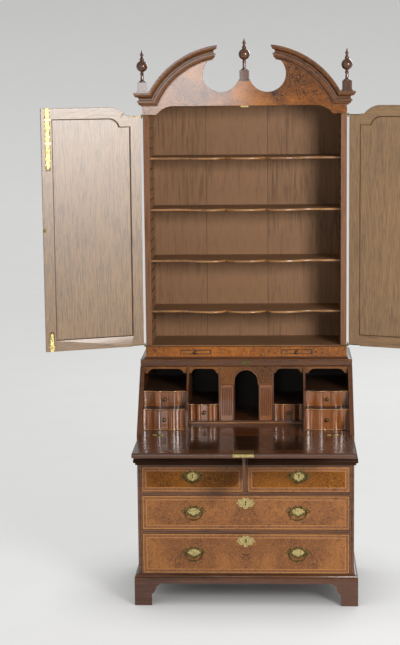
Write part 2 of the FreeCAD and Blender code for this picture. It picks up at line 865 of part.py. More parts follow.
def drawer_walls(name, xs, ys, zs, wall, floor):
    """The two sides, the back and the bottom of a drawer's box, butted together."""
    bottom = box(f"{name}_bottom", xs, ys, (zs[0], f"{zs[0]} + {floor}"))
    rise = (f"{zs[0]} + {floor}", zs[1])
    one = box(f"{name}_side_one", (xs[0], f"{xs[0]} + {wall}"), ys, rise)
    other = box(f"{name}_side_other", (f"{xs[1]} - {wall}", xs[1]), ys, rise)
    back = box(f"{name}_back", (f"{xs[0]} + {wall}", f"{xs[1]} - {wall}"), (f"{ys[1]} - {wall}", ys[1]), rise)
    return [bottom, one, other, back]


def writing_interior():
    """Partitions, shelves, valances, the arched centre, six small drawers and two document boxes."""
    outer = [
        ("fitting_back", "bed_height"),
        ("fitting_back", DESK_CEILING),
        ("inner_front", DESK_CEILING, "scallop_depth"),
        ("partition_mid_front", "upper_tier_high", "scallop_depth"),
        ("partition_front", "lower_tier_high"),
        ("partition_front", "bed_height"),
    ]
    outer_right = place(pad("outer_partition_right", "YZ_Plane", outer, "outer_partition"), OUTER_NEAR)
    inner_right = box("inner_partition_right", (INNER_LOW, INNER_HIGH), ("inner_front", "fitting_back"),
                      (STEP_TOP, DESK_CEILING))
    niche_right = box("niche_wall_right", ("niche_half", "niche_half + niche_wall"),
                      ("inner_front + arch_board", "fitting_back"), (STEP_TOP, DESK_CEILING))
    right = [outer_right, inner_right, niche_right]
    node("pigeonhole_partitions", *right, *[mirrored(f"left_{item.Name}", item) for item in right])

    tiers = [
        ("base_shelf", OUTER_LOW, INSIDE, "lower_tier_front", "bed_height"),
        ("lower_shelf", OUTER_LOW, INSIDE, "lower_tier_front", "lower_tier_high"),
        ("upper_shelf", OUTER_LOW, INSIDE, "upper_tier_front", "upper_tier_high"),
        ("inner_shelf", INNER_HIGH, OUTER_NEAR, "inner_front", "inner_tier_high"),
    ]
    shelves = []
    for name, low, high, front, height in tiers:
        outline = [(high, "fitting_back"), (low, "fitting_back")]
        outline += serpentine(low, high, f"{front} + lobe_rise")
        shelf = place(pad(f"{name}_right", "XY_Plane", outline, "pigeon_shelf"), "0", "0", height)
        shelves += [shelf, mirrored(f"{name}_left", shelf)]
    node("pigeonhole_shelves", *shelves)

    valances = []
    for name, low, high in (("outer", OUTER_LOW, INSIDE), ("inner", INNER_HIGH, OUTER_NEAR)):
        wide = f"({high} - {low})"
        deep = f"{DESK_CEILING} - valance_low"
        flat = f"{DESK_CEILING} - valance_mid"
        outline = [
            (low, DESK_CEILING),
            (low, deep),
            (f"{low} + {wide} * valance_end_share", deep, "valance_mid * valance_bow_share"),
            (f"{low} + {wide} * valance_flat_share", flat),
            (f"{high} - {wide} * valance_flat_share", flat, "valance_mid * valance_bow_share"),
            (f"{high} - {wide} * valance_end_share", deep),
            (high, deep),
            (high, DESK_CEILING),
        ]
        piece = place(pad(f"{name}_valance", "XZ_Plane", outline, "valance_thickness"), "0",
                      "inner_front + valance_thickness")
        valances += [piece, mirrored(f"left_{name}_valance", piece)]
    node("pigeonhole_valances", *valances)

    board = rectangle(f"-{INNER_LOW}", INNER_LOW, "arch_board_low", DESK_CEILING)
    body = pad("arch_board", "XZ_Plane", board, "arch_board")
    opening = [
        ("-niche_half", "arch_board_low - cut_over"),
        ("niche_half", "arch_board_low - cut_over"),
        ("niche_half", "arch_spring", "-niche_half * arch_rise_share"),
        ("-niche_half", "arch_spring"),
    ]
    pocket(body, "arch_opening", "XZ_Plane", opening)
    node("arch_front", place(body, "0", "inner_front + arch_board"))

    for side, sign in (("left", -1), ("right", 1)):
        outer_xs = ordered(sign, OUTER_LOW, INSIDE)
        inner_xs = ordered(sign, INNER_HIGH, OUTER_NEAR)
        lower_zs = ("bed_height + pigeon_shelf", "lower_tier_high")
        upper_zs = ("lower_tier_high + pigeon_shelf", "upper_tier_high")
        inner_zs = (STEP_TOP, "inner_tier_high")
        small_drawer(f"{side}_lower_small_drawer", outer_xs, lower_zs, "lower_tier_front")
        small_drawer(f"{side}_upper_small_drawer", outer_xs, upper_zs, "upper_tier_front")
        small_drawer(f"{side}_inner_small_drawer", inner_xs, inner_zs, "inner_front")
        document_box(f"{side}_document_box", ordered(sign, "niche_half + niche_wall", INNER_LOW))


def ordered(sign, low, high):
    """The same stretch on the right, or mirrored to the left, lowest first."""
    return (low, high) if sign > 0 else (f"-({high})", f"-({low})")


def document_box(name, xs):
    """An upright box for papers behind a fluted pilaster, open at the top."""
    left, right = (f"{xs[0]} + small_gap", f"{xs[1]} - small_gap")
    low, high = (STEP_TOP, "arch_board_low - small_gap")
    front = pad(f"{name}_pilaster", "XZ_Plane", rectangle(left, right, low, high), "pilaster_front")
    middle = f"({xs[0]} + {xs[1]}) / 2"
    first = f"{middle} - (flute_count - 1) * flute_pitch / 2"
    flute_low = f"{low} + pilaster_base + flute_width"
    flute_high = f"{high} - pilaster_cap - flute_width"
    flute = [
        (f"{first} - flute_width / 2", flute_low),
        (f"{first} + flute_width / 2", flute_low),
        (f"{first} + flute_width / 2", flute_high, "-flute_width * flute_end_share"),
        (f"{first} - flute_width / 2", flute_high),
    ]
    groove = pocket(front, f"{name}_flute", "XZ_Plane", flute, "flute_depth", "pilaster_front")
    repeat(front, f"{name}_flutes", groove, "X_Axis", "(flute_count - 1) * flute_pitch", "flute_count")
    face = "inner_front"
    place(front, "0", f"{face} + pilaster_front")
    proud = (f"{face} - pilaster_cap_out", face)
    cap = box(f"{name}_cap", (left, right), proud, (f"{high} - pilaster_cap", high))
    foot = box(f"{name}_foot", (left, right), proud, (low, f"{low} + pilaster_base"))
    walls = drawer_walls(name, (left, right), (f"{face} + pilaster_front", "fitting_back"), (low, high),
                         "small_wall", "small_wall")
    node(name, front, cap, foot, *walls)


def repeat(body, name, feature, role, length, count):
    """Repeat a feature in a row along one of the body's axes."""
    pattern = body.newObject("PartDesign::LinearPattern", name)
    pattern.Originals = [feature]
    pattern.Direction = (origin_feature(body, role), [""])
    bind(pattern, "Length", length)
    bind(pattern, "Occurrences", count)
    body.Tip = pattern


def large_drawers():
    """Two short and two long drawers with cock-beaded fronts, brass plates and bails."""
    half_gap = "muntin_width / 2"
    short = ("short_opening_low", "short_opening_high")
    upper = ("upper_opening_low", "upper_opening_high")
    lower = ("lower_opening_low", "lower_opening_high")
    across = (f"-{INSIDE}", INSIDE)
    large_drawer("left_short_drawer", ordered(-1, half_gap, INSIDE), short)
    large_drawer("right_short_drawer", ordered(1, half_gap, INSIDE), short)
    large_drawer("upper_long_drawer", across, upper)
    large_drawer("lower_long_drawer", across, lower)

    for side, sign in (("left", -1), ("right", 1)):
        at = (f"{sign} * short_handle_place", "short_opening_high - short_lock_drop")
        node(f"{side}_short_drawer_brass", *handle_plate(f"{side}_short", at, keyhole=True))
        bail(f"{side}_short_drawer_bail", at)
    for name, (low, high) in (("upper_long", upper), ("lower_long", lower)):
        middle = f"({low} + {high}) / 2"
        pieces = []
        for side, sign in (("left", -1), ("right", 1)):
            at = (f"{sign} * handle_place", middle)
            pieces += handle_plate(f"{name}_{side}", at)
            bail(f"{name}_drawer_{side}_bail", at)
        pieces.append(escutcheon(f"{name}_escutcheon", ("0", f"{high} - lock_drop")))
        node(f"{name}_drawer_brass", *pieces)


def large_drawer(name, xs, zs):
    left, right = (f"{xs[0]} + drawer_gap", f"{xs[1]} - drawer_gap")
    low, high = (zs[0], f"{zs[1]} - drawer_gap")
    face = box(f"{name}_face", (left, right), ("0", "drawer_front"), (low, high))
    outer = box(f"{name}_bead_outer", (left, right), ("-bead_rise", "0"), (low, high))
    inner = box(f"{name}_bead_inner", (f"{left} + bead_width", f"{right} - bead_width"),
                ("-bead_rise - cut_over", "cut_over"), (f"{low} + bead_width", f"{high} - bead_width"))
    bead = cut(f"{name}_bead", outer, inner)
    walls = drawer_walls(name, (left, right), ("drawer_front", "drawer_length"),
                         (low, f"{high} - drawer_side_drop"), "drawer_wall", "drawer_bottom")
    node(name, face, bead, *walls)


def wing_outline(width, height):
    """The bat-wing outline of a plate, as shares of its half width and half height."""
    points = []
    for across_share, up_share, bow_share in WING_SHARES:
        point = (f"{across_share} * {width} / 2", f"{up_share} * {height} / 2")
        points.append(point + ((f"{bow_share} * {height}",) if bow_share else ()))
    return both_sides(points)


def handle_plate(name, at, keyhole=False):
    """A bat-wing plate with two posts, drilled for the ends of the bail."""
    plate = pad(f"{name}_plate", "XZ_Plane", wing_outline("plate_width", "plate_height"), "plate_thickness")
    if keyhole:
        sketch = new_sketch(plate, "XZ_Plane", f"{name}_keyhole_outline")
        draw_circle(sketch, "0", "keyhole_rise", "keyhole_radius")
        pocket_sketch(plate, f"{name}_keyhole", sketch)
    place(plate, at[0], "0", at[1])
    items = [plate]
    for side, sign in (("left", -1), ("right", 1)):
        middle = f"{at[0]} + {sign} * {POST_PLACE}"
        post = rod(f"{name}_{side}_post", "post_radius", "post_length", -Y_AXIS, middle,
                   "-plate_thickness", at[1])
        drill = rod(f"{name}_{side}_drill", "bail_pin + bail_pin_play", "2 * post_radius", X_AXIS,
                    f"{middle} - ({sign} + 1) * post_radius", PIVOT_Y, at[1])
        items.append(cut(f"{name}_{side}_drilled", post, drill))
    return items


def escutcheon(name, at):
    plate = pad(name, "XZ_Plane", wing_outline("escutcheon_width", "escutcheon_height"), "plate_thickness")
    sketch = new_sketch(plate, "XZ_Plane", f"{name}_keyhole_outline")
    draw_circle(sketch, "0", "0", "keyhole_radius")
    pocket_sketch(plate, f"{name}_keyhole", sketch)
    return place(plate, at[0], "0", at[1])


def bail(name, at):
    """A half-round bail with a pin at each end, hung between the posts of its plate."""
    ring = doc.addObject("Part::Torus", f"{name}_ring")
    bind(ring, "Radius1", "bail_radius")
    bind(ring, "Radius2", "bail_wire")
    ring.Angle3 = 180
    ring.Placement = FreeCAD.Placement(FreeCAD.Vector(), FreeCAD.Rotation(X_AXIS, -90))
    place(ring, at[0], PIVOT_Y, at[1])
    items = [ring]
    for side, sign in (("left", -1), ("right", 1)):
        end = f"{at[0]} + {sign} * bail_radius"
        ball = doc.addObject("Part::Sphere", f"{name}_{side}_ball")
        bind(ball, "Radius", "bail_wire")
        place(ball, end, PIVOT_Y, at[1])
        pin = rod(f"{name}_{side}_pin", "bail_pin", "bail_wire + bail_side_gap + bail_pin_length",
                  X_AXIS * sign, end, PIVOT_Y, at[1])
        items += [ball, pin]
    node(name, fuse(f"{name}_fused", *items))


def loper():
    """The single support in the middle, drawn out under the fall."""
    top = f"({BED_UNDER} - loper_play)"
    bar = box("loper_bar", ("-loper_width / 2", "loper_width / 2"),
              ("-loper_drawn", "loper_length - loper_drawn"), (f"{top} - loper_height", top))
    node("loper", bar)


def fall():
    """The fall, lowered, with a rounded lip, its lock let in and the moving hinge leaves."""
    edge = "fall_edge_round"
    low = "bed_height - fall_thickness"
    near, far = ("-fall_gap - fall_length", "-fall_gap")
    profile = [
        (far, "bed_height"),
        (near, "bed_height"),
        (near, f"{low} + {edge}", f"-{edge} * quarter_round_share"),
        (f"{near} + {edge}", low),
        (far, low),
    ]
    board = place(pad("fall_board", "YZ_Plane", profile, "fall_width"), "-fall_width / 2")
    lock_xs = ("-lock_width / 2", "lock_width / 2")
    hinge_beds = hinge_recesses("fall_recess", "-fall_gap - hinge_reach", "0")
    lock_bed = box("lock_recess", lock_xs, (f"{near} - cut_over", f"{near} + lock_reach"),
                   ("bed_height - lock_depth", "bed_height + cut_over"))
    node("fall_panel", cut("fall_cut", board, fuse("fall_tools", hinge_beds, lock_bed)))
    lock = box("fall_lock", lock_xs, (near, f"{near} + lock_reach"),
               ("bed_height - lock_depth", "bed_height"))
    leaves = []
    for side, sign in (("left", -1), ("right", 1)):
        leaves.append(hinge_leaf(f"fall_{side}_leaf", sign, moving=True))
    node("fall_brass", lock, *leaves)


def hinge_leaf(name, sign, moving):
    """Half of a butt hinge: a leaf and its knuckles. The fixed half carries the pin."""
    middle = f"{sign} * hinge_place"
    left = f"{middle} - hinge_width / 2"
    third = "hinge_width / 3"
    ys = ("knuckle_radius / 2", "hinge_reach")
    if moving:
        ys = ("-fall_gap - hinge_reach", "-knuckle_radius / 2")
    leaf_zs = ("bed_height - hinge_leaf", "bed_height")
    leaf = box(f"{name}_plate", (left, f"{left} + hinge_width"), ys, leaf_zs)
    room_ys = ("-knuckle_room", "knuckle_room")
    room_zs = ("bed_height - knuckle_room", "bed_height + knuckle_room")
    room_xs = (f"{left} + {third} - knuckle_gap", f"{left} + 2 * {third} + knuckle_gap")
    room = box(f"{name}_room", room_xs, room_ys, room_zs)
    barrel = rod(f"{name}_barrel", "knuckle_radius", "hinge_width", X_AXIS, left, "0", "bed_height")
    if moving:
        bore = rod(f"{name}_bore", "hinge_pin_radius + hinge_pin_play", "hinge_width", X_AXIS, left, "0",
                   "bed_height")
        whole = cut(f"{name}_bored", fuse(f"{name}_joined", leaf, barrel), bore)
        return cut(f"{name}_half", whole, room)
    ends = []
    for index, start in enumerate((left, f"{left} + 2 * {third} - knuckle_gap")):
        end_xs = (start, f"{start} + {third} + knuckle_gap")
        ends.append(box(f"{name}_end_{index}", end_xs, room_ys, room_zs))
    whole = cut(f"{name}_half", fuse(f"{name}_joined", leaf, barrel), fuse(f"{name}_ends", *ends))
    pin = rod(f"{name}_pin", "hinge_pin_radius", "hinge_width", X_AXIS, left, "0", "bed_height")
    return fuse(f"{name}_pinned", whole, pin)


def cabinet():
    """The carcass of the bookcase: grooved sides, floor, ceiling, back and curved shelves."""
    outline = rectangle(DOOR_PLANE, BACK, "desk_top_height", HEAD_TOP)
    left = pad("cabinet_side_left", "YZ_Plane", outline, "cabinet_side")
    first = rectangle(f"{DOOR_PLANE} + groove_stop", BACK, "groove_first", "groove_first + groove_height")
    groove = pocket(left, "shelf_groove", "YZ_Plane", first, "groove_depth", "cabinet_side")
    repeat(left, "shelf_grooves", groove, "Z_Axis", "(groove_count - 1) * groove_pitch", "groove_count")
    place(left, f"-{CABINET_HALF}")
    node("cabinet_sides", left, mirrored("cabinet_side_right", left))

    across = (f"-{CABINET_INSIDE}", CABINET_INSIDE)
    deep = (DOOR_PLANE, BACK)
    boards = [
        box("cabinet_floor_board", across, deep, ("cabinet_floor - cabinet_board", "cabinet_floor")),
        box("cabinet_ceiling", across, deep, ("head_arch + cabinet_board", "head_arch + 2 * cabinet_board")),
    ]
    for side, sign in (("left", -1), ("right", 1)):
        for edge, step in (("near", -1), ("far", 1)):
            middle = f"{sign} * slide_place + {step} * (slide_width - bearer_width) / 2"
            bearer_xs = (f"{middle} - bearer_width / 2", f"{middle} + bearer_width / 2")
            boards.append(box(f"{side}_{edge}_bearer", bearer_xs, deep, ("desk_top_height", "slide_low")))
    node("cabinet_boards", *boards)

    seams = [f"-{CABINET_HALF}", "-plank_seam_left", "plank_seam_right", CABINET_HALF]
    planks = []
    for index in range(3):
        planks.append(box(f"cabinet_plank_{index}", (seams[index], seams[index + 1]), (BACK, "case_depth"),
                          ("desk_top_height", HEAD_TOP)))
    node("cabinet_backboards", *planks)

    end = f"({CABINET_INSIDE} + groove_depth - shelf_end_play)"
    wave = []
    for across_share, depth_share, bow_share in SHELF_SHARES:
        point = (f"{across_share} * {CABINET_INSIDE}", f"shelf_front + {depth_share} * shelf_wave")
        wave.append(point + ((f"{bow_share} * shelf_wave",) if bow_share else ()))
    front = both_sides(wave + [(end, "shelf_front"), (end, BACK)], "-shelf_bow_share * shelf_wave")
    shelves = []
    for index in range(4):
        height = f"groove_first + (shelf_first_groove + {index} * shelf_groove_step) * groove_pitch"
        shelf = pad(f"shelf_{index}", "XY_Plane", front, "shelf_thickness")
        shelves.append(place(shelf, "0", "0", height))
    node("bookcase_shelves", *shelves)


def candle_frieze():
    """The frieze with openings for two candle slides, the slides and the moulding below."""
    face = rectangle(f"-{CABINET_HALF}", CABINET_HALF, "desk_top_height", "frieze_top")
    frieze = pad("frieze", "XZ_Plane", face, "head_thickness")
    for side, sign in (("left", -1), ("right", 1)):
        middle = f"{sign} * slide_place"
        wide = "slide_width / 2 + slide_gap"
        hole = rectangle(f"{middle} - ({wide})", f"{middle} + {wide}", "slide_low - slide_gap",
                         "slide_low + slide_height + slide_gap")
        pocket(frieze, f"{side}_slide_opening", "XZ_Plane", hole)
        slide_xs = (f"{middle} - slide_width / 2", f"{middle} + slide_width / 2")
        slide_ys = ("cabinet_front", "cabinet_front + slide_length")
        board = box(f"{side}_slide_board", slide_xs, slide_ys, ("slide_low", "slide_low + slide_height"))
        high = "slide_low + slide_height / 2"
        neck = rod(f"{side}_slide_neck", "slide_knob_radius / 2", "slide_knob_length", -Y_AXIS, middle,
                   "cabinet_front", high)
        head = doc.addObject("Part::Sphere", f"{side}_slide_head")
        bind(head, "Radius", "slide_knob_radius")
        place(head, middle, "cabinet_front - slide_knob_length", high)
        node(f"{side}_candle_slide", board, fuse(f"{side}_slide_knob", neck, head))
    place(frieze, "0", DOOR_PLANE)
    node("candle_frieze", cut("frieze_board", frieze, bolt_mortise("low_mortise", "frieze_top", -1)))

    profile = section(MID_SHARES, "mid_mould_out", "desk_top_height", "mid_mould_height")
    path = [
        (CABINET_HALF, "case_depth"),
        (CABINET_HALF, "cabinet_front"),
        (f"-{CABINET_HALF}", "cabinet_front"),
        (f"-{CABINET_HALF}", "case_depth"),
    ]
    node("mid_moulding", moulding("mid_run", CABINET_HALF, path, profile))


def bolt_mortise(name, height, sign):
    """The hole that a door bolt shoots into, up into the head or down into the frieze."""
    middle = "(door_lap / 2 - meeting_gap / 2 - bolt_place)"
    half = "(bolt_width / 2 + bolt_play * 2)"
    depth = "(bolt_travel + cut_over)"
    zs = (f"{height} - cut_over", f"{height} + {depth}")
    if sign < 0:
        zs = (f"{height} - {depth}", f"{height} + cut_over")
    return box(name, (f"{middle} - {half}", f"{middle} + {half}"),
               (f"{DOOR_PLANE} - door_face_gap - bolt_plate - bolt_bar - 3 * bolt_play",
                f"{DOOR_PLANE} - door_face_gap - bolt_plate + bolt_play"), zs)


def shoulder_arc(inset):
    """Run and height of the shoulder arc of the doors and head, moved in by an inset."""
    radius = f"({SHOULDER_RADIUS} - ({inset}))"
    run = f"sqrt(2 * {SHOULDER_RISE} * {radius} - {SHOULDER_RISE}^2)"
    bow = f"({radius} - sqrt({radius}^2 - {SHOULDER_RISE} * {radius} / 2))"
    return run, bow


def head():
    """The shaped head board with its two round cut-outs, the broken-arch cornice and the finials."""
    backing = "(arch_radius - cornice_cap - cornice_seat_gap)"
    run, bow = shoulder_arc("0")
    start_angle = f"asin(({HEAD_TOP} - arch_centre_z) / {backing})"
    arch_bow = f"{backing} * (1 - cos((arch_inner_angle * 1 deg - {start_angle}) / 2))"
    tip_height = f"arch_centre_z + {backing} * sin(arch_inner_angle)"
    outline = both_sides([
        ("head_flat", "head_arch", bow),
        (f"head_flat + {run}", "head_shoulder"),
        (CABINET_HALF, "head_shoulder"),
        (CABINET_HALF, HEAD_TOP),
        (f"arch_centre_x + {backing} * cos({start_angle})", HEAD_TOP, f"-{arch_bow}"),
        (f"arch_centre_x + {backing} * cos(arch_inner_angle)", tip_height),
        ("cut_end_x", "cut_end_z"),
        ("platform_half", "platform_height"),
    ])
    board = pad("head_board", "XZ_Plane", outline, "head_thickness")
    for side, sign in (("left", -1), ("right", 1)):
        sketch = new_sketch(board, "XZ_Plane", f"{side}_round_outline")
        draw_circle(sketch, f"{sign} * round_centre_x", "round_centre_z", "round_radius")
        pocket_sketch(board, f"{side}_round", sketch)
    place(board, "0", DOOR_PLANE)
    node("pediment_board", cut("head_cut", board, bolt_mortise("high_mortise", "head_arch", 1)))

    # The raking arch is turned about its centre and mitred to the level cornice at the corner.
    profile = section(CORNICE_SHARES, "cornice_out", "0", "cornice_height") + [
        ("-head_thickness", "cornice_height"),
        ("-head_thickness", "cornice_height - cornice_cap"),
        ("0", "cornice_height - cornice_cap"),
    ]
    level = [(p[0], f"cornice_low + {p[1]}") + tuple(p[2:]) for p in profile]
    path = [(CABINET_HALF, "case_depth"), (CABINET_HALF, "cabinet_front"), ("head_flat", "cabinet_front")]
    corner = moulding("cornice_corner", CABINET_HALF, path, level)

    inner_radius = "(arch_radius - cornice_height)"
    arch = new_body("cornice_arch")
    sketch = new_sketch(arch, "XY_Plane", "arch_profile")
    draw(sketch, [(f"{inner_radius} + {p[1]}", f"cabinet_front - ({p[0]})") + tuple(p[2:]) for p in profile])
    sweep = arch.newObject("PartDesign::Revolution", "arch_turn")
    sweep.Profile = sketch
    sweep.ReferenceAxis = (origin_feature(arch, "Y_Axis"), [""])
    sweep.Reversed = True
    bind(sweep, "Angle", "arch_inner_angle + return_angle - arch_outer_angle")
    turn(arch, -Y_AXIS, "arch_outer_angle")
    place(arch, "arch_centre_x", "0", "arch_centre_z")

    top_x = f"(arch_centre_x + sqrt(arch_radius^2 - ({CORNICE_TOP} - arch_centre_z)^2))"
    low_x = f"(arch_centre_x + sqrt({inner_radius}^2 - (cornice_low - arch_centre_z)^2))"
    wedge_points = [
        (f"2 * {top_x} - {low_x}", f"{CORNICE_TOP} + cornice_height"),
        ("cabinet_width", f"{CORNICE_TOP} + cornice_height"),
        ("cabinet_width", "cornice_low - cornice_height"),
        (f"2 * {low_x} - {top_x}", "cornice_low - cornice_height"),
    ]
    wedge = place(pad("mitre", "XZ_Plane", wedge_points, "2 * case_depth"), "0", "case_depth + cut_over")
    level_run = doc.addObject("Part::Common", "cornice_level")
    level_run.Base = corner
    level_run.Tool = wedge
    past = place(pad("return_cut", "XZ_Plane", return_outline(inner_radius), "2 * case_depth"), "0",
                 "case_depth + cut_over")
    raking = cut("cornice_raking", cut("cornice_returned", arch, past), wedge)
    right = [level_run, raking]
    node("cornice_mouldings", *right, *[mirrored(f"left_{item.Name}", item) for item in right])

    centre_y = "cabinet_front + head_thickness / 2"
    corner_y = "cabinet_front - cornice_out / 2 + plinth_back"
    middle = plinth("middle_plinth", "0", centre_y, "platform_height")
    middle.append(finial("middle_finial", "0", centre_y, "platform_height + plinth_height"))
    right = plinth("right_plinth", "plinth_place", corner_y, CORNICE_TOP)
    right.append(finial("right_finial", "plinth_place", corner_y, f"{CORNICE_TOP} + plinth_height"))
    node("finials", *middle, *right, *[mirrored(f"left_{item.Name}", item) for item in right])


def return_outline(inner_radius):
    """What is cut from the tip of the arch, so that its moulding turns back there."""
    steps = section(CORNICE_SHARES, "cornice_out", "0", "cornice_height")
    steps = [("0", "-cut_over")] + steps + [("cornice_out", "cornice_height + cut_over")]
    steps += [("3 * cornice_out", "cornice_height + cut_over"), ("3 * cornice_out", "-cut_over")]
    points = []
    for step in steps:
        radial = f"({inner_radius} + {step[1]})"
        x = f"arch_centre_x + {radial} * cos(arch_inner_angle) - {step[0]} * sin(arch_inner_angle)"
        z = f"arch_centre_z + {radial} * sin(arch_inner_angle) + {step[0]} * cos(arch_inner_angle)"
        points.append((x, z) + tuple(f"-({bow})" for bow in step[2:]))
    return points


def finial(name, x, y, z):
    """A turned finial: a ball between beads on a flared foot, with a pointed tip."""
    body = new_body(name)
    spin = body.newObject("PartDesign::Revolution", f"{name}_turn")
    outline = section(FINIAL_SHARES, "finial_ball", "0", "finial_height")
    spin.Profile = draw(new_sketch(body, "XZ_Plane", f"{name}_profile"), outline)
    spin.ReferenceAxis = (origin_feature(body, "Z_Axis"), [""])
    spin.Angle = 360
    return place(body, x, y, z)


def plinth(name, x, y, z):
    """A square block on a moulded base under a finial."""
    wide = "(plinth_width / 2 + plinth_cap_out)"
    base = box(f"{name}_base", (f"{x} - {wide}", f"{x} + {wide}"), (f"{y} - {wide}", f"{y} + {wide}"),
               (z, f"{z} + plinth_cap"))
    half = "plinth_width / 2"
    block = box(f"{name}_block", (f"{x} - {half}", f"{x} + {half}"), (f"{y} - {half}", f"{y} + {half}"),
                (f"{z} + plinth_cap", f"{z} + plinth_height"))
    return [base, block]


def door_outline(sign, inset):
    """The outline of a door, or of an opening in it, from its hinge, moved in by an inset."""
    run, bow = shoulder_arc(inset)
    flat = f"({DOOR_REACH} - head_flat + shoulder_gap)"
    near = f"(hinge_out + ({inset}))"
    far = f"({DOOR_WIDTH} - ({inset}))"
    low = f"{DOOR_LOW} + ({inset})"
    points = [
        (near, low),
        (far, low),
        (far, f"head_arch - door_gap - ({inset})"),
        (flat, f"head_arch - door_gap - ({inset})", f"-{bow}"),
        (f"{flat} - {run}", f"head_shoulder - door_gap - ({inset})"),
        (near, f"head_shoulder - door_gap - ({inset})"),
    ]
    return flipped(points, sign)


def flipped(points, sign):
    """Points counted from the left hinge, or the same for the right one."""
    if sign < 0:
        return points
    return [(f"-({p[0]})", p[1]) + tuple(f"-({text})" for text in p[2:]) for p in points]


def hang(item, sign):
    """Hang a piece made in the closed place at its hinge and swing it open."""
    turn(item, Z_AXIS * sign, "door_open_angle")
    return place(item, f"{sign} * {DOOR_REACH}", DOOR_PLANE)


def local_box(name, sign, xs, ys, zs):
    """A board in a door's own frame: x from the hinge to the meeting edge."""
    across = xs if sign < 0 else (f"-({xs[1]})", f"-({xs[0]})")
    return box(name, across, ys, zs, local=True)


def door(side, sign):
    """One door: a rebated frame with an arched head, the mirror, its back panel and brass."""
    front = "(door_face_gap + door_thickness)"
    frame = pad(f"{side}_frame", "XZ_Plane", door_outline(sign, "0"), "door_thickness", "door_face_gap")
    pocket(frame, f"{side}_sight", "XZ_Plane", door_outline(sign, "door_stile"))
    rebate = "door_stile - rebate_width"
    pocket(frame, f"{side}_rebate", "XZ_Plane", door_outline(sign, rebate), "door_thickness - door_lip",
           "door_face_gap", reverse=True)
    lap = flipped(rectangle(f"{DOOR_WIDTH} - door_lap", f"{DOOR_WIDTH} + cut_over", f"{DOOR_LOW} - cut_over",
                            "head_arch + cut_over"), sign)
    lap_depth = "door_thickness / 2 + meeting_gap / 2"
    if sign < 0:
        pocket(frame, f"{side}_lap", "XZ_Plane", lap, lap_depth, front)
    else:
        pocket(frame, f"{side}_lap", "XZ_Plane", lap, lap_depth, "door_face_gap", reverse=True)
    shoulder = "(head_shoulder - door_gap)"
    for end, low, high in (("low", f"{DOOR_LOW} - cut_over", f"{DOOR_LOW} + pivot_notch_height"),
                           ("top", f"{shoulder} - pivot_notch_height", f"{shoulder} + cut_over")):
        notch = flipped(rectangle("hinge_out - cut_over", "hinge_out + pivot_notch_length", low, high), sign)
        pocket(frame, f"{side}_{end}_notch", "XZ_Plane", notch)
    whole = frame
    if sign < 0:
        whole = cut("left_frame_cut", frame, bolt_housings(sign))
    node(f"{side}_door_frame", hang(whole, sign))

    plate_inset = f"{rebate} + glass_gap"
    depth = "(door_face_gap + door_thickness - door_lip)"
    mirror = pad(f"{side}_mirror", "XZ_Plane", door_outline(sign, plate_inset), "mirror_thickness",
                 f"{depth} - mirror_thickness")
    panel = pad(f"{side}_panel", "XZ_Plane", door_outline(sign, plate_inset), "panel_thickness",
                f"{depth} - mirror_thickness - panel_thickness")
    node(f"{side}_door_mirror", hang(mirror, sign))
    node(f"{side}_door_panel", hang(panel, sign))

    brass = []
    for end, low in (("low", f"{DOOR_LOW} + pivot_notch_height - pivot_plate"),
                     ("top", f"{shoulder} - pivot_notch_height")):
        plate_xs = ("0", "hinge_out + pivot_notch_length - pivot_play")
        plate_ys = ("-door_face_gap - pivot_arm_width", "-door_face_gap")
        plate = local_box(f"{side}_{end}_pivot_plate", sign, plate_xs, plate_ys,
                          (low, f"{low} + pivot_plate"))
        eye = rod(f"{side}_{end}_pivot_eye", "pivot_boss", "pivot_plate", Z_AXIS, "0", "0", low, local=True)
        bore = rod(f"{side}_{end}_pivot_bore", "pivot_pin + pivot_play", "pivot_plate + 2 * cut_over", Z_AXIS,
                   "0", "0", f"{low} - cut_over", local=True)
        brass.append(cut(f"{side}_{end}_pivot", fuse(f"{side}_{end}_pivot_whole", plate, eye), bore))
    if sign < 0:
        brass += bolt_plates(sign)
    else:
        middle = f"{DOOR_WIDTH} - door_lap"
        brass.append(local_box("door_lock", sign, (f"{middle} - door_lock_width", middle),
                               ("-door_face_gap", "door_lock_depth"),
                               ("door_lock_height_place - door_lock_height / 2",
                                "door_lock_height_place + door_lock_height / 2")))
    fitted = group(f"{side}_door_brass_group", *brass)
    node(f"{side}_door_brass", hang(fitted, sign))


def bolt_places():
    """Name, lower and upper end of the plate of each bolt, and the way it shoots."""
    top = "(head_arch - door_gap)"
    return [
        ("top", f"{top} - bolt_top_length", top, 1),
        ("low", DOOR_LOW, f"{DOOR_LOW} + bolt_low_length", -1),
    ]


def bolt_housings(sign):
    """Beds for the bolt plates and slots for the bars, as one tool."""
    tools = []
    middle = f"({DOOR_WIDTH} - bolt_place)"
    for name, low, high, way in bolt_places():
        ends = (f"{low} - cut_over", f"{high}") if way < 0 else (low, f"{high} + cut_over")
        tools.append(local_box(f"{name}_plate_bed", sign, (f"{middle} - bolt_plate_width / 2",
                                                           f"{middle} + bolt_plate_width / 2"),
                               ("-door_face_gap - bolt_plate", "cut_over"), ends))
        half = "(bolt_width / 2 + bolt_play)"
        tools.append(local_box(f"{name}_bar_slot", sign, (f"{middle} - {half}", f"{middle} + {half}"),
                               ("-door_face_gap - bolt_plate - bolt_bar - 2 * bolt_play", "cut_over"), ends))
    return fuse("bolt_housings", *tools)


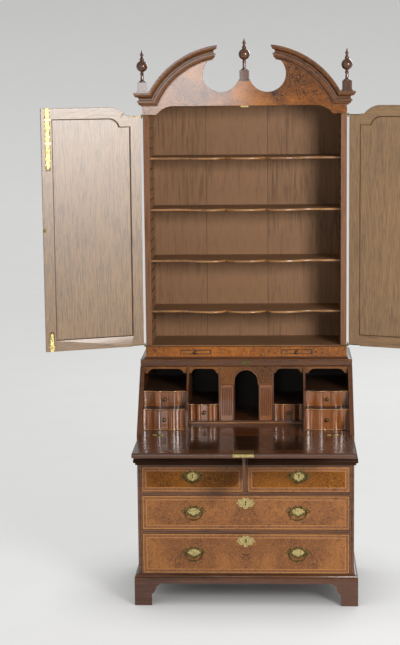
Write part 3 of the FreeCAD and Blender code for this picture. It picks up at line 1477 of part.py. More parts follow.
def bolt_plates(sign):
    """Slotted plates over the two bolts, flush with the inside of the left door."""
    plates = []
    middle = f"({DOOR_WIDTH} - bolt_place)"
    wide = "bolt_plate_width / 2"
    for name, low, high, way in bolt_places():
        plate = local_box(f"{name}_bolt_plate", sign, (f"{middle} - {wide}", f"{middle} + {wide}"),
                          ("-door_face_gap - bolt_plate", "-door_face_gap"), (low, high))
        knob = bolt_knob_height(low, high, way)
        reach = "(bolt_knob_radius + bolt_play)"
        slot_ends = (f"{knob} - {reach}", f"{knob} + bolt_travel + {reach}")
        if way < 0:
            slot_ends = (f"{knob} - bolt_travel - {reach}", f"{knob} + {reach}")
        slot = local_box(f"{name}_bolt_slot", sign, (f"{middle} - {reach}", f"{middle} + {reach}"),
                         ("-door_face_gap - bolt_plate - cut_over", "cut_over"), slot_ends)
        plates.append(cut(f"{name}_bolt_slotted", plate, slot))
    strike_high = "door_lock_height_place + strike_height / 2"
    strike = local_box("door_strike", sign, (f"{DOOR_WIDTH} - strike_width", DOOR_WIDTH),
                       ("-door_face_gap", "bolt_plate - door_face_gap"),
                       ("door_lock_height_place - strike_height / 2", strike_high))
    plates.append(strike)
    return plates


def bolt_knob_height(low, high, way):
    """The knob is the same share of each bolt's length away from the edge that it shoots past."""
    length = f"(({high}) - ({low}))"
    if way > 0:
        return f"({low} + {length} * bolt_knob_share)"
    return f"({high} - {length} * bolt_knob_share)"


def door_bolts(sign):
    """The two sliding bolts of one door, drawn back."""
    middle = f"({DOOR_WIDTH} - bolt_place)"
    half = "bolt_width / 2"
    for name, low, high, way in bolt_places():
        knob = bolt_knob_height(low, high, way)
        far = "(bolt_knob_radius + 2 * bolt_play)"
        zs = (f"{knob} - {far}", f"{high} - bolt_play")
        if way < 0:
            zs = (f"{low} + bolt_play", f"{knob} + {far}")
        face = "(door_face_gap + bolt_plate + bolt_play)"
        bar = local_box(f"{name}_bolt_bar", sign, (f"{middle} - {half}", f"{middle} + {half}"),
                        (f"-{face} - bolt_bar", f"-{face}"), zs)
        grip = rod(f"{name}_bolt_grip", "bolt_knob_radius", f"{face} + bolt_knob_length", Y_AXIS, middle,
                   f"-{face} - bolt_bar / 2", knob, local=True)
        node(f"left_door_{name}_bolt", hang(fuse(f"{name}_bolt", bar, grip), sign))


def fixed_brass():
    """Pivot arms of the doors, the fixed hinge leaves of the fall and the catch of its lock."""
    items = [hinge_leaf("left_bed_leaf", -1, moving=False), hinge_leaf("right_bed_leaf", 1, moving=False)]
    items.append(box("lock_catch", ("-catch_width / 2", "catch_width / 2"),
                     ("cabinet_front - lock_depth", "cabinet_front"),
                     (f"{DESK_CEILING} + catch_drop", f"{DESK_CEILING} + catch_drop + catch_height")))
    axis_y = DOOR_PLANE
    arms = []
    for end, low, pin_low in (("low", "frieze_top", "frieze_top"),
                              ("top", "head_shoulder - pivot_arm", "head_shoulder - pivot_pin_length")):
        arm = box(f"{end}_pivot_arm", (f"{DOOR_REACH} - pivot_arm_length", DOOR_REACH),
                  (f"{axis_y} - pivot_arm_width", f"{axis_y} - door_face_gap"), (low, f"{low} + pivot_arm"))
        boss = rod(f"{end}_pivot_boss", "pivot_boss", "pivot_arm", Z_AXIS, DOOR_REACH, axis_y, low)
        pin = rod(f"{end}_pivot_pin", "pivot_pin", "pivot_pin_length", Z_AXIS, DOOR_REACH, axis_y, pin_low)
        arms.append(fuse(f"{end}_pivot_fixed", arm, boss, pin))
    items += arms + [mirrored(f"left_{arm.Name}", arm) for arm in arms]
    node("fixed_brass", *items)


def finish():
    """Check every object, then write each sub-part to its own file."""
    doc.recompute()
    for item in doc.Objects:
        faults = [state for state in item.State if state in ("Invalid", "Error")]
        if faults:
            raise RuntimeError(f"{item.Name} is {faults}")
    for item in NODES:
        if item.Shape.isNull() or not item.Shape.isValid():
            raise RuntimeError(f"{item.Label} has no valid shape")
    os.makedirs("parts", exist_ok=True)
    for item in NODES:
        item.Shape.exportStep(f"parts/{item.Label}.step")
    print(len(NODES), "sub-parts")


drawer_case()
writing_bed()
case_mouldings()
bracket_feet()
writing_interior()
large_drawers()
loper()
fall()
cabinet()
candle_frieze()
head()
door("left", -1)
door("right", 1)
door_bolts(-1)
fixed_brass()
finish()
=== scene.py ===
import functools
import json
import math

import bmesh
import bpy
from mathutils import Matrix, Vector

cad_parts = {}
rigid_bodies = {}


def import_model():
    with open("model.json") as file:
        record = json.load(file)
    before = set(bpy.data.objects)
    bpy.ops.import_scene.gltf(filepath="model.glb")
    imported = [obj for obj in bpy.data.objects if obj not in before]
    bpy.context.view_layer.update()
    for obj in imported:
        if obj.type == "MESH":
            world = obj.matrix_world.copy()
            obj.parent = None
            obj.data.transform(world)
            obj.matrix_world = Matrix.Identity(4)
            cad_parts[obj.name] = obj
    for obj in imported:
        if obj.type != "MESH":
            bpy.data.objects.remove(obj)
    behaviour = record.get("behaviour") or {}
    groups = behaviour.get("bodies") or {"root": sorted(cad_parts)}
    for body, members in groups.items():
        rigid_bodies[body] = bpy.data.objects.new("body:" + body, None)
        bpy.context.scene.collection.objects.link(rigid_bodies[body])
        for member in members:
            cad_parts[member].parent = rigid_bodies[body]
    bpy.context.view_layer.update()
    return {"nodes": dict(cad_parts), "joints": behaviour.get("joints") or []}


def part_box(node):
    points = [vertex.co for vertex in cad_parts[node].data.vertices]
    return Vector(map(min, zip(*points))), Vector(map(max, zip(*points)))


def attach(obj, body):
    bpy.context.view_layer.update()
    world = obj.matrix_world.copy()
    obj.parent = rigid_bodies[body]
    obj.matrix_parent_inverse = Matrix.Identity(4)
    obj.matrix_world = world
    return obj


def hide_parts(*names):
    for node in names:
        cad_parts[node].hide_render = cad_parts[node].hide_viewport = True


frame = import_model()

NODES = frame["nodes"]
JOINTS = {joint["name"]: joint for joint in frame["joints"]}

bl_info = {
    "name": "Escritoire looks",
    "version": (1, 0, 0),
    "blender": (4, 5, 0),
    "location": "View3D > Sidebar > Escritoire",
    "description": "Veneers, brass, mouldings and a studio for the escritoire",
    "category": "Object",
}

MM = 0.001
QUARTER = math.pi / 2
MIRRORED = (-1, 1)
SIDES = ("left", "right")
BIG_DRAWERS = ("left_short_drawer", "right_short_drawer", "upper_long_drawer", "lower_long_drawer")
SMALL_DRAWERS = [f"{side}_{tier}_small_drawer" for side in SIDES for tier in ("lower", "upper", "inner")]
SLIDES = [f"{side}_candle_slide" for side in SIDES]
DOCUMENT_BOXES = [f"{side}_document_box" for side in SIDES]
BAILS = [name.removesuffix("_swing") for name in JOINTS if name.endswith("_bail_swing")]
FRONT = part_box("case_sides")[0].y
BOOKCASE_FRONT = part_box("cabinet_sides")[0].y
CASE_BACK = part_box("case_backboards")[0].y


# Colours as sRGB hex: each family with where it is seen and its tones from pale to dark.
COLOURS = {
    "burr": ("the long drawers and the fall", "#B4783C", "#7C4D2A", "#402310"),
    "warm": ("the short drawers", "#B4742A", "#764612", "#452207"),
    "gold": ("the frieze", "#C67A24", "#8A4C10", "#452207"),
    "head": ("the head", "#AC6820", "#6A3909", "#2E1504"),
    "arch": ("the arch and the valances", "#925820", "#643A10", "#301708"),
    "band": ("the crossbanding", "#8A5834", "#5A341C"),
    "crown": ("the cornice", "#74451D", "#2C1407"),
    "rail": ("the rail beads and the bookcase sides", "#7A5238", "#3A2115"),
    "walnut": ("the mouldings", "#633A1C", "#28130A"),
    "inner": ("the writing interior", "#8E5224", "#42210D"),
    "foot": ("the bracket feet", "#604235", "#432C23"),
    "bed": ("the banding round the writing surface", "#5E3519", "#331808"),
    "field": ("the writing surface", "#38200F", "#1C0E06"),
    "oak": ("the oak inside the bookcase", "#886445", "#5E422B"),
    "door": ("the polished oak inside the doors", "#8C6A42", "#574026"),
    # The recess colour is painted shade: the near-black back of the pigeonholes, the dark of the waist under
    # the fall, and the dark in the hollows of mouldings.
    "recess": ("the back of the pigeonholes, and grime in hollows", "#1C100A"),
    # The line colour is partly painted highlight: on the noses of the shelves, the desk top and the step,
    # and on the drawers' cock beads, it is paler than their wood so their edges read as bright lines. In the
    # herringbone band and round the candle slides it is a pale strip.
    "line": ("the pale beads and lines", "#B07C46"),
    "brass": ("the old brass, rubbed and tarnished", "#77693F", "#2B2316"),
    "bolt": ("the bright brass of the bolts", "#DCCB94", "#B5A26A"),
    "boss": ("the bosses and key plates", "#CDBB80", "#85734A"),
    "glass": ("the silvering of the mirror plates", "#D5D8D4"),
    # The keyhole colours are painted shade with dust, for the unlit inside of a lock.
    "keyhole": ("the dust and the dark in a lock", "#241A12", "#140D09"),
    "paper": ("the paper of the floor and wall", "#F0F0EF", "#E9E9E8"),
}
TONES = {1: ("",), 2: ("_pale", "_dark"), 3: ("_pale", "_mid", "_dark")}


def length(label, text, default):
    return bpy.props.FloatProperty(
        name=label, description=text, default=default, min=0.0, unit="LENGTH", precision=4)


def degrees(label, text, default):
    return bpy.props.FloatProperty(
        name=label, description=text, default=math.radians(default), subtype="ANGLE")


class EscritoireColours(bpy.types.PropertyGroup):
    """Colours of the woods, the brass, the glass and the floor, as sRGB hex."""
    __annotations__ = {
        family + tone: bpy.props.StringProperty(
            name=(family + tone).replace("_", " ").capitalize(), description=f"Colour of {where}",
            default=colour)
        for family, (where, *tints) in COLOURS.items() for tone, colour in zip(TONES[len(tints)], tints)
    }


class EscritoireSizes(bpy.types.PropertyGroup):
    """Sizes of what is laid on the solids."""
    crossband: length("Crossband", "Width of the cross-grained border", 9 * MM)
    feather: length("Feather band", "Width of one strip of the herringbone band", 2.2 * MM)
    veneer: length("Veneer", "How far the veneer stands on its ground", 0.5 * MM)
    bead: length("Rail bead", "Radius of the paired beads on the rails", 3.2 * MM)
    soft_edge: length("Soft edge", "Wear along the edges of boards", 0.9 * MM)
    screw: length("Screw head", "Radius of a screw head", 3.2 * MM)


class EscritoireStage(bpy.types.PropertyGroup):
    """Lens, place and turn of the camera."""
    lens: bpy.props.FloatProperty(
        name="Lens", description="Focal length on a 36 mm frame", default=92.99, unit="CAMERA")
    pitch: degrees("Pitch", "How far the camera looks down", 8.565)
    yaw: degrees("Yaw", "How far the camera looks to the right", -2.849)
    roll: degrees("Roll", "Tilt of the camera", 0.599)
    place: bpy.props.FloatVectorProperty(
        name="Camera", description="Place of the camera", default=(0.1618, FRONT - 7.1132, 2.3366),
        subtype="XYZ")


def chosen(group):
    """The values set in one of the three groups."""
    return getattr(bpy.context.scene, f"escritoire_{group}")


def colours_of(names):
    """The sRGB hex of each name: a family stands for all its tones, from pale to dark."""
    found = []
    for name in names.split():
        tones = TONES[len(COLOURS[name]) - 1] if name in COLOURS else ("",)
        found += [getattr(chosen("colours"), name + tone) for tone in tones]
    return found


def linear(text):
    """An sRGB hex colour as linear red, green, blue and alpha."""
    parts = [int(text[i:i + 2], 16) / 255 for i in (1, 3, 5)]
    return [c / 12.92 if c <= 0.04045 else ((c + 0.055) / 1.055) ** 2.4 for c in parts] + [1.0]


def add(tree, kind, links=None, **settings):
    """Add a node with its settings, and set or link its inputs."""
    item = tree.nodes.new(kind)
    for key, setting in settings.items():
        setattr(item, key, setting)
    for key, given in (links or {}).items():
        if isinstance(given, bpy.types.NodeSocket):
            tree.links.new(given, item.inputs[key])
        else:
            item.inputs[key].default_value = given
    return item


def calc(tree, operation, *values, kind="ShaderNodeMath"):
    """A number, or a vector, worked out from up to three others."""
    return add(tree, kind, dict(enumerate(values)), operation=operation).outputs[0]


def spread(tree, value, low=0.0, high=1.0, start=0.0, stop=1.0):
    """A value between low and high, drawn out to lie between start and stop."""
    sockets = {"Value": value, "From Min": low, "From Max": high, "To Min": start, "To Max": stop}
    return add(tree, "ShaderNodeMapRange", sockets).outputs[0]


def noise(tree, place, scale, detail=2.0, **more):
    sockets = {"Vector": place, "Scale": scale, "Detail": detail, **more}
    return add(tree, "ShaderNodeTexNoise", sockets).outputs["Fac"]


def mapped(tree, place, kind="POINT", **change):
    return add(tree, "ShaderNodeMapping", {"Vector": place, **change}, vector_type=kind).outputs[0]


def blend(tree, factor, one, two):
    return add(tree, "ShaderNodeMix", {0: factor, 6: one, 7: two}, data_type="RGBA").outputs[2]


def ramp(tree, factor, *stops):
    """Colours along a factor, each stop a place and an sRGB hex."""
    item = add(tree, "ShaderNodeValToRGB", {"Fac": factor})
    elements = item.color_ramp.elements
    elements[0].position, elements[0].color = stops[0][0], linear(stops[0][1])
    elements[1].position, elements[1].color = stops[-1][0], linear(stops[-1][1])
    for place, text in stops[1:-1]:
        elements.new(place).color = linear(text)
    return item.outputs["Color"]


def new_material(name, **constants):
    """A material, its tree, its shader with constants on its own sockets, and Object coordinates."""
    material = bpy.data.materials.new(name)
    material.use_nodes = True
    tree = material.node_tree
    shader = tree.nodes["Principled BSDF"]
    for key, constant in constants.items():
        shader.inputs[key.replace("_", " ")].default_value = constant
    return material, tree, shader, add(tree, "ShaderNodeTexCoord").outputs["Object"]


def polished_wood(name, coat, coat_gloss, shine):
    """A new material with a coat of wax or shellac."""
    return new_material(name, Coat_Weight=coat, Coat_Roughness=coat_gloss, IOR=1.48,
                        Specular_IOR_Level=shine)


def dress(tree, shader, tint, rough, height, strength, depth):
    """Link colour, roughness and fine relief to a shader."""
    bump = add(tree, "ShaderNodeBump", {"Height": height, "Strength": strength, "Distance": depth})
    tree.links.new(tint, shader.inputs["Base Color"])
    tree.links.new(rough, shader.inputs["Roughness"])
    tree.links.new(bump.outputs[0], shader.inputs["Normal"])


def burr_veneer(name, pale, mid, dark, matched=False, start=(0, 0, 0), gloss=0.36, coat=0.15,
                coat_gloss=0.16, shine=0.3, figure=(1.02, 2.4)):
    """Burr walnut veneer, knife cut and waxed: pale curling veins about 25 mm apart around small
    dark eyes, over smoky patches of 0.2 m, with a soft polish. A matched veneer is two leaves,
    opened like a book about the middle. Figure is the range of levels from dark to pale."""
    material, tree, shader, place = polished_wood(name, coat, coat_gloss, shine)
    vectors = "ShaderNodeVectorMath"
    if matched:
        place = calc(tree, "ABSOLUTE", place, kind=vectors)
    place = mapped(tree, place, Location=start)
    drift = add(tree, "ShaderNodeTexNoise", {"Vector": place, "Scale": 9.0, "Detail": 4.0}).outputs["Color"]
    lean = calc(tree, "SUBTRACT", drift, (0.5, 0.5, 0.5), kind=vectors)
    lean = add(tree, vectors, {0: lean, "Scale": 0.1}, operation="SCALE").outputs[0]
    bent = calc(tree, "ADD", place, lean, kind=vectors)
    curl = noise(tree, bent, 38.0, 6.0, Roughness=0.58, Distortion=2.6)
    eyes = add(tree, "ShaderNodeTexVoronoi", {"Vector": bent, "Scale": 55.0, "Smoothness": 0.5},
               feature="SMOOTH_F1").outputs["Distance"]
    fine = noise(tree, bent, 260.0, 4.0, Distortion=1.5)
    patch = noise(tree, place, 5.0, 5.0, Distortion=0.8)
    level = calc(tree, "MULTIPLY_ADD", patch, 1.8, curl)
    level = calc(tree, "MULTIPLY_ADD", fine, 0.3, level)
    tint = ramp(tree, spread(tree, level, *figure), (0.0, dark), (0.4, mid), (1.0, pale))
    away = calc(tree, "ABSOLUTE", calc(tree, "SUBTRACT", curl, 0.5))
    tint = blend(tree, spread(tree, away, 0.0, 0.032, 0.8, 0.0), tint, linear(pale))
    tint = blend(tree, spread(tree, eyes, 0.04, 0.22, 0.14, 0.0), tint, linear(dark))
    rough = spread(tree, fine, start=gloss, stop=gloss + 0.2)
    dress(tree, shader, tint, rough, fine, 0.12, 0.4 * MM)
    return material


def straight_grain(name, pale, dark, turn=(0, 0, 0), start=(0, 0, 0), gloss=0.38, coat=0.25,
                   coat_gloss=0.2, pores=0.55, ridge=0.18, grain=(70, 3), shine=0.3, hang=None,
                   cross=None, skin=None, planks=(), grime=0.0):
    """Sawn and planed timber: grain lines whose closeness and length are given per metre, and open
    pores 2 mm wide and 60 mm long, twice as coarse as they are so that they show. The grain runs
    along z until it is turned. Hang gives the place and angle of a door, cross the middle and half
    width of the stretch where the grain runs the other way, skin the woods of an outer face and
    where it starts, planks the seams between boards and how their tone shifts there, and
    grime how far from a hollow of the moulding painted shade darkens the colour."""
    material, tree, shader, place = polished_wood(name, coat, coat_gloss, shine)
    if hang:
        place = mapped(tree, place, "TEXTURE", Location=hang[0], Rotation=(0, 0, hang[1]))
    x, y, _ = add(tree, "ShaderNodeSeparateXYZ", {0: place}).outputs
    reach = calc(tree, "ABSOLUTE", x)
    along = mapped(tree, place, Location=start, Rotation=turn)
    if cross:
        middle, half, other_way = cross
        mask = calc(tree, "COMPARE", reach, middle, half)
        turned = mapped(tree, place, Rotation=other_way)
        along = add(tree, "ShaderNodeMix", {0: mask, 4: along, 5: turned}, data_type="VECTOR").outputs[1]
    close, long = grain
    lines = noise(tree, mapped(tree, along, Scale=(close, close, long)), 1.0, 6.0, Roughness=0.6,
                  Distortion=1.1)
    streak = noise(tree, mapped(tree, along, Scale=(520, 520, 17)), 1.0, 3.0, Roughness=0.6)
    level = calc(tree, "MULTIPLY_ADD", noise(tree, place, 3.2, 3.0), 0.45, lines)
    for seam, shift in planks:
        level = calc(tree, "MULTIPLY_ADD", calc(tree, "GREATER_THAN", x, seam), shift, level)
        level = calc(tree, "MULTIPLY_ADD", calc(tree, "COMPARE", x, seam, 1.6 * MM), -0.5, level)
    level = spread(tree, level, 0.46, 0.98)
    tint = ramp(tree, level, (0.0, dark), (0.55, pale), (1.0, pale))
    tint = blend(tree, spread(tree, streak, 0.36, 0.52, pores, 0.0), tint, linear(dark))
    if skin:
        woods, beyond, ahead = skin
        outer_pale, outer_dark = colours_of(woods)
        outer = calc(tree, "MAXIMUM", calc(tree, "GREATER_THAN", reach, beyond),
                     calc(tree, "LESS_THAN", y, ahead))
        other = ramp(tree, level, (0.0, outer_dark), (0.6, outer_pale), (1.0, outer_pale))
        tint = blend(tree, outer, tint, other)
    # Painted shade: ambient occlusion darkens the colour towards the recess colour in the hollows of a
    # moulding.
    if grime:
        hollow = add(tree, "ShaderNodeAmbientOcclusion", {"Distance": grime}, samples=8,
                     only_local=True).outputs["AO"]
        tint = blend(tree, spread(tree, hollow, 0.4, 0.9, 0.1), linear(chosen("colours").recess), tint)
    rough = spread(tree, streak, start=gloss + 0.14, stop=gloss - 0.06)
    dress(tree, shader, tint, rough, calc(tree, "ADD", lines, streak), ridge, 0.6 * MM)
    return material


def old_brass(name, worn, dull, rough=0.3):
    """Cast and filed brass, polished for long: rubbed high places among tarnish in patches of
    about 8 mm, with fine scratches."""
    material, tree, shader, place = new_material(name, Metallic=1.0)
    patch = noise(tree, place, 120.0, 5.0, Roughness=0.65)
    tint = ramp(tree, patch, (0.32, dull), (0.62, worn))
    grit = noise(tree, place, 900.0, 3.0)
    dress(tree, shader, tint, spread(tree, patch, 0.3, 0.7, rough + 0.22, rough), grit, 0.15, 0.2 * MM)
    return material


def mirror_plate(name, tint):
    """Old silvered plate glass: a bright mirror, a little grey, with faint clouding."""
    material, tree, shader, place = new_material(name, Metallic=1.0, Base_Color=linear(tint))
    cloud = noise(tree, place, 14.0, 4.0)
    tree.links.new(spread(tree, cloud, 0.4, 0.8, 0.02, 0.05), shader.inputs["Roughness"])
    return material


def keyhole_dark(name, dusty, tint):
    """Painted shade for the unlit inside of a lock: dull and almost black, with dust."""
    material, tree, shader, place = new_material(name, Roughness=0.9)
    tree.links.new(ramp(tree, noise(tree, place, 300.0), (0.3, tint), (1.0, dusty)),
                   shader.inputs["Base Color"])
    return material


def seen_rays(tree):
    """One for rays that reach the eye straight, off a polish or through glass, none for light."""
    path = add(tree, "ShaderNodeLightPath").outputs
    seen = calc(tree, "MAXIMUM", path["Is Camera Ray"], path["Is Glossy Ray"])
    return calc(tree, "MAXIMUM", seen, path["Is Transmission Ray"])


def paper_floor(name, tint, dark):
    """Matt background paper, almost even, with a faint mottle of 0.4 m. Rays that reach the eye
    see it half lit from behind, so it is pale and still takes the shadow. That glow is painted
    light and shade: a little brighter low down than up the wall, and darkened by ambient occlusion
    into a painted shadow near and under the escritoire."""
    material, tree, shader, place = new_material(name, Roughness=0.85, Specular_IOR_Level=0.2)
    tree.links.new(ramp(tree, noise(tree, place, 2.5), (0.3, dark), (0.7, tint)),
                   shader.inputs["Base Color"])
    share = calc(tree, "MULTIPLY", seen_rays(tree), 0.6)
    # Painted shadow: ambient occlusion dims the glow near and under the escritoire, and the glow is a little
    # brighter low down.
    height = add(tree, "ShaderNodeSeparateXYZ", {0: place}).outputs[2]
    painted_shadow = add(tree, "ShaderNodeAmbientOcclusion", {"Distance": 0.45}, samples=8).outputs["AO"]
    level = calc(tree, "MULTIPLY", spread(tree, height, 0.0, 4.0, 1.16, 0.92), painted_shadow)
    glow = add(tree, "ShaderNodeEmission", {"Color": linear(tint), "Strength": level}).outputs[0]
    both = add(tree, "ShaderNodeMixShader", {0: share, 1: shader.outputs[0], 2: glow}).outputs[0]
    tree.links.new(both, tree.nodes["Material Output"].inputs["Surface"])
    return material


def hang_of(side):
    """Place of a door's pivot, and the angle at which it hangs open."""
    joint = JOINTS[f"{side}_door_hinge"]
    return joint["pos_m"], -joint["axis"][2] * math.radians(joint["range_deg"][1])


def hung(side):
    """From a door's own frame, with the pivot at its origin, to the place where it hangs."""
    place, angle = hang_of(side)
    return Matrix.Translation((place[0], place[1], 0)) @ Matrix.Rotation(angle, 4, "Z")


# What several finishes share: which way the grain runs, a waxed polish, dry oak, and the doors.
ACROSS, DEEP = {"turn": (0, QUARTER, 0)}, {"turn": (QUARTER, 0, 0)}
POLISH = dict(gloss=0.24, coat=0.5, coat_gloss=0.13)
DRY = dict(gloss=0.5, coat=0.0, pores=0.35, grain=(95, 5))
DOOR = dict(gloss=0.34, coat=1.0, coat_gloss=0.34, pores=0.8, ridge=0.9, grain=(125, 9), shine=0.5)
# No face lies as far from the middle as this, so a skin that starts here is on the front alone.
NOWHERE = 2.0
# A skin begins this far behind the face that it covers.
SKIN_DEEP = 0.5 * MM
# The finishes by maker, each with its colours and settings.
FINISHES = {
    burr_veneer: {
        "burr_matched": ("burr", dict(matched=True, start=(0.3, 0, 0.05))),
        "burr_fall": ("burr", dict(matched=True, start=(1.7, 0.2, 0.4))),
        "burr_arch": ("arch", dict(start=(0.2, 0.6, 0.1))),
        "burr_short": ("warm", dict(start=(2, 0, 1), coat=0.08, shine=0.12)),
        "burr_gold": ("gold", dict(start=(1.3, 0, 0.2))),
        "burr_head": ("head", dict(
            start=(0.1, 0, 0.9), coat=1.0, coat_gloss=0.11, shine=0.05, figure=(1.16, 1.96))),
    },
    straight_grain: {
        "walnut_up": ("walnut", POLISH),
        # The cross-grained mouldings take painted shade in their hollows.
        "walnut_across": ("walnut", dict(ACROSS, **POLISH, grime=10 * MM)),
        "walnut_deep": ("walnut", dict(DEEP, **POLISH)),
        # Painted shade: the waist moulding, in shadow under the fall, is given near-black colours and no
        # polish.
        "walnut_painted_shade": ("field_pale recess", dict(ACROSS, gloss=0.5, coat=0.0, shine=0.1)),
        # The cornice and the finials take painted shade in their hollows too.
        "cornice": ("crown", dict(ACROSS, gloss=0.26, coat=0.35, coat_gloss=0.13, grime=16 * MM)),
        "finial": ("bed_pale field_dark", dict(gloss=0.2, coat=0.85, coat_gloss=0.06, grime=12 * MM)),
        "rail": ("rail", dict(ACROSS, **POLISH)),
        "inner_up": ("inner", dict(gloss=0.2, coat=1.0, coat_gloss=0.11)),
        # Painted shade: the dark beads laid in the flutes of the pilasters.
        "flute": ("walnut_pale inner_dark", dict(gloss=0.5, coat=0.0)),
        "lip": ("inner_dark bed_dark", dict(ACROSS, gloss=0.3, coat=1.0, coat_gloss=0.24, shine=0.5)),
        # Painted highlight: the nose is paler than the walnut, so the rounded fronts of the shelves, the
        # desk top and the step show a bright line.
        "nose": ("line inner_dark", dict(ACROSS, gloss=0.22, coat=1.0, coat_gloss=0.14)),
        # Painted shade: the pigeonhole shelves, shaded inside the pigeonholes, take the near-black of the
        # writing surface. The beads round the candle slides use it too.
        "shelf_dark": ("field", dict(ACROSS, gloss=0.5)),
        "line_left": ("line burr_mid", dict(turn=(0, QUARTER / 2, 0))),
        "line_right": ("burr_pale burr_mid", dict(turn=(0, -QUARTER / 2, 0))),
        "band_up": ("band", dict(pores=0.3)),
        "band_across": ("band", dict(ACROSS, pores=0.3)),
        "feet": ("foot", dict(ACROSS, gloss=0.46, coat=0.1)),
        "bed": ("bed", dict(ACROSS, gloss=0.22, coat=0.35, coat_gloss=0.09, pores=0.3, ridge=0.05,
                            cross=(0.44, 0.035, DEEP["turn"]))),
        "field": ("field", dict(ACROSS, gloss=0.24, coat=0.7, coat_gloss=0.1, pores=0.3, ridge=0.05)),
        # Painted shade: the front face of the case's backboards, seen at the back of the pigeonholes, is
        # near-black.
        "recess": ("oak", dict(DRY, skin=("recess recess", NOWHERE, CASE_BACK + SKIN_DEEP))),
        "oak_across": ("oak", dict(DRY, **ACROSS)),
        "oak_back": ("oak", dict(DRY, planks=((-0.184, 0.08), (0.098, -0.1)))),
        "oak_sides": ("oak", dict(DRY, skin=("rail_pale walnut_pale", 0.4495, BOOKCASE_FRONT + SKIN_DEEP))),
        # Painted highlight: the front edges of the large drawers round their veneers, the cock beads, are
        # pale so they read as bright lines.
        "oak_drawer": ("oak", dict(DRY, **DEEP, skin=("line burr_mid", NOWHERE, FRONT + 21 * MM))),
        # Painted shade: the inner bead round a door panel is darker than the oak, standing for the shadow
        # line round the panel.
        "bead_oak": ("oak_dark walnut_dark", dict(gloss=0.46, coat=0.0)),
        **{f"panel_{side}": ("door", dict(DOOR, hang=hang_of(side), start=(0.4, 0.3, 0.2)))
           for side in SIDES},
        **{f"frame_{side}": ("door", dict(DOOR, hang=hang_of(side), cross=(0.2287, 0.1677, ACROSS["turn"]),
                                          skin=("walnut", NOWHERE, -23.2 * MM))) for side in SIDES},
    },
    old_brass: {
        "old_brass": ("brass", {}), "boss_brass": ("boss", {}), "bright_brass": ("bolt", dict(rough=0.46)),
    },
    mirror_plate: {"mirror": ("glass", {})},
    keyhole_dark: {"keyhole": ("keyhole", {})},
    paper_floor: {"paper": ("paper", {})},
}


@functools.cache
def finish_of(name):
    """Each finish is made once, when it is first asked for."""
    maker = next(maker for maker, recipes in FINISHES.items() if name in recipes)
    colours, settings = FINISHES[maker][name]
    return maker(name, *colours_of(colours), **settings)


def linked(name, data):
    """A new object in the scene."""
    item = bpy.data.objects.new(name, data)
    bpy.context.scene.collection.objects.link(item)
    return item


def new_piece(name, mesh, body, slot, *replaced):
    """Link a finished mesh as a piece that rides on a body."""
    mesh.name = name
    item = linked(name, mesh)
    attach(item, body)
    if replaced:
        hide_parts(*replaced)


def made_mesh(build, materials):
    """A bmesh made into a mesh with its materials."""
    mesh = bpy.data.meshes.new("made")
    build.to_mesh(mesh)
    build.free()
    for material in materials:
        mesh.materials.append(material)
    return mesh


def mesh_of(build, *finishes, smooth=False):
    """A closed form made into a mesh that faces outward, with its finishes."""
    bmesh.ops.recalc_face_normals(build, faces=build.faces)
    mesh = made_mesh(build, map(finish_of, finishes))
    if smooth:
        mesh.shade_smooth()
    return mesh


def plain_mesh(item, finish):
    """The evaluated mesh of an object, which is then removed."""
    depsgraph = bpy.context.evaluated_depsgraph_get()
    mesh = bpy.data.meshes.new_from_object(item.evaluated_get(depsgraph), depsgraph=depsgraph)
    bpy.data.batch_remove((item, item.data))
    mesh.materials.clear()
    mesh.materials.append(finish_of(finish))
    return mesh


def moved(mesh, place):
    mesh.transform(Matrix.Translation(place))
    return mesh


def join(meshes):
    """Several meshes as one, each with its own finish."""
    build = bmesh.new()
    finishes = []
    for mesh in meshes:
        start = len(build.faces)
        build.from_mesh(mesh)
        build.faces.ensure_lookup_table()
        finishes += [material for material in mesh.materials if material not in finishes]
        for face in build.faces[start:]:
            face.material_index = finishes.index(mesh.materials[face.material_index])
    bmesh.ops.remove_doubles(build, verts=build.verts, dist=0.01 * MM)
    return made_mesh(build, finishes)


def add_block(build, low, high, finish=0, soft=0.0):
    """A box between two corners, with rounded edges if it is soft."""
    low, high = Vector(low), Vector(high)
    place = Matrix.Translation((low + high) / 2) @ Matrix.Diagonal((*(high - low), 1))
    made = bmesh.ops.create_cube(build, size=1.0, matrix=place)["verts"]
    for face in {face for vert in made for face in vert.link_faces}:
        face.material_index = finish
    if soft:
        edges = dict.fromkeys(edge for vert in made for edge in vert.link_edges)
        bmesh.ops.bevel(build, geom=list(edges), offset=soft, segments=2, affect="EDGES")


def add_ring(build, centre, one, two, radius, steps):
    """Points on a circle that lies along two directions."""
    ring = []
    for step in range(steps):
        angle = 2 * math.pi * step / steps
        ring.append(build.verts.new(centre + (one * math.cos(angle) + two * math.sin(angle)) * radius))
    return ring


def stitch(build, rings, steps):
    """Faces between rings, of which one may be a single point, and over open ends."""
    for one, two in zip(rings, rings[1:]):
        for step in range(steps):
            pair = (step, (step + 1) % steps)
            corners = [one[at % len(one)] for at in pair] + [two[at % len(two)] for at in reversed(pair)]
            build.faces.new(list(dict.fromkeys(corners)))
    for ring in (rings[0], rings[-1]):
        if len(ring) > 1:
            build.faces.new(ring)


def add_lathe(build, centre, axis, profile, steps=24, scale=MM):
    """A turned form: profile is a list of radius and distance along the axis."""
    axis = Vector(axis)
    side = axis.orthogonal().normalized()
    rings = []
    for radius, along in profile:
        base = Vector(centre) + axis * along * scale
        if radius:
            rings.append(add_ring(build, base, side, axis.cross(side), radius * scale, steps))
        else:
            rings.append([build.verts.new(base)])
    stitch(build, rings, steps)


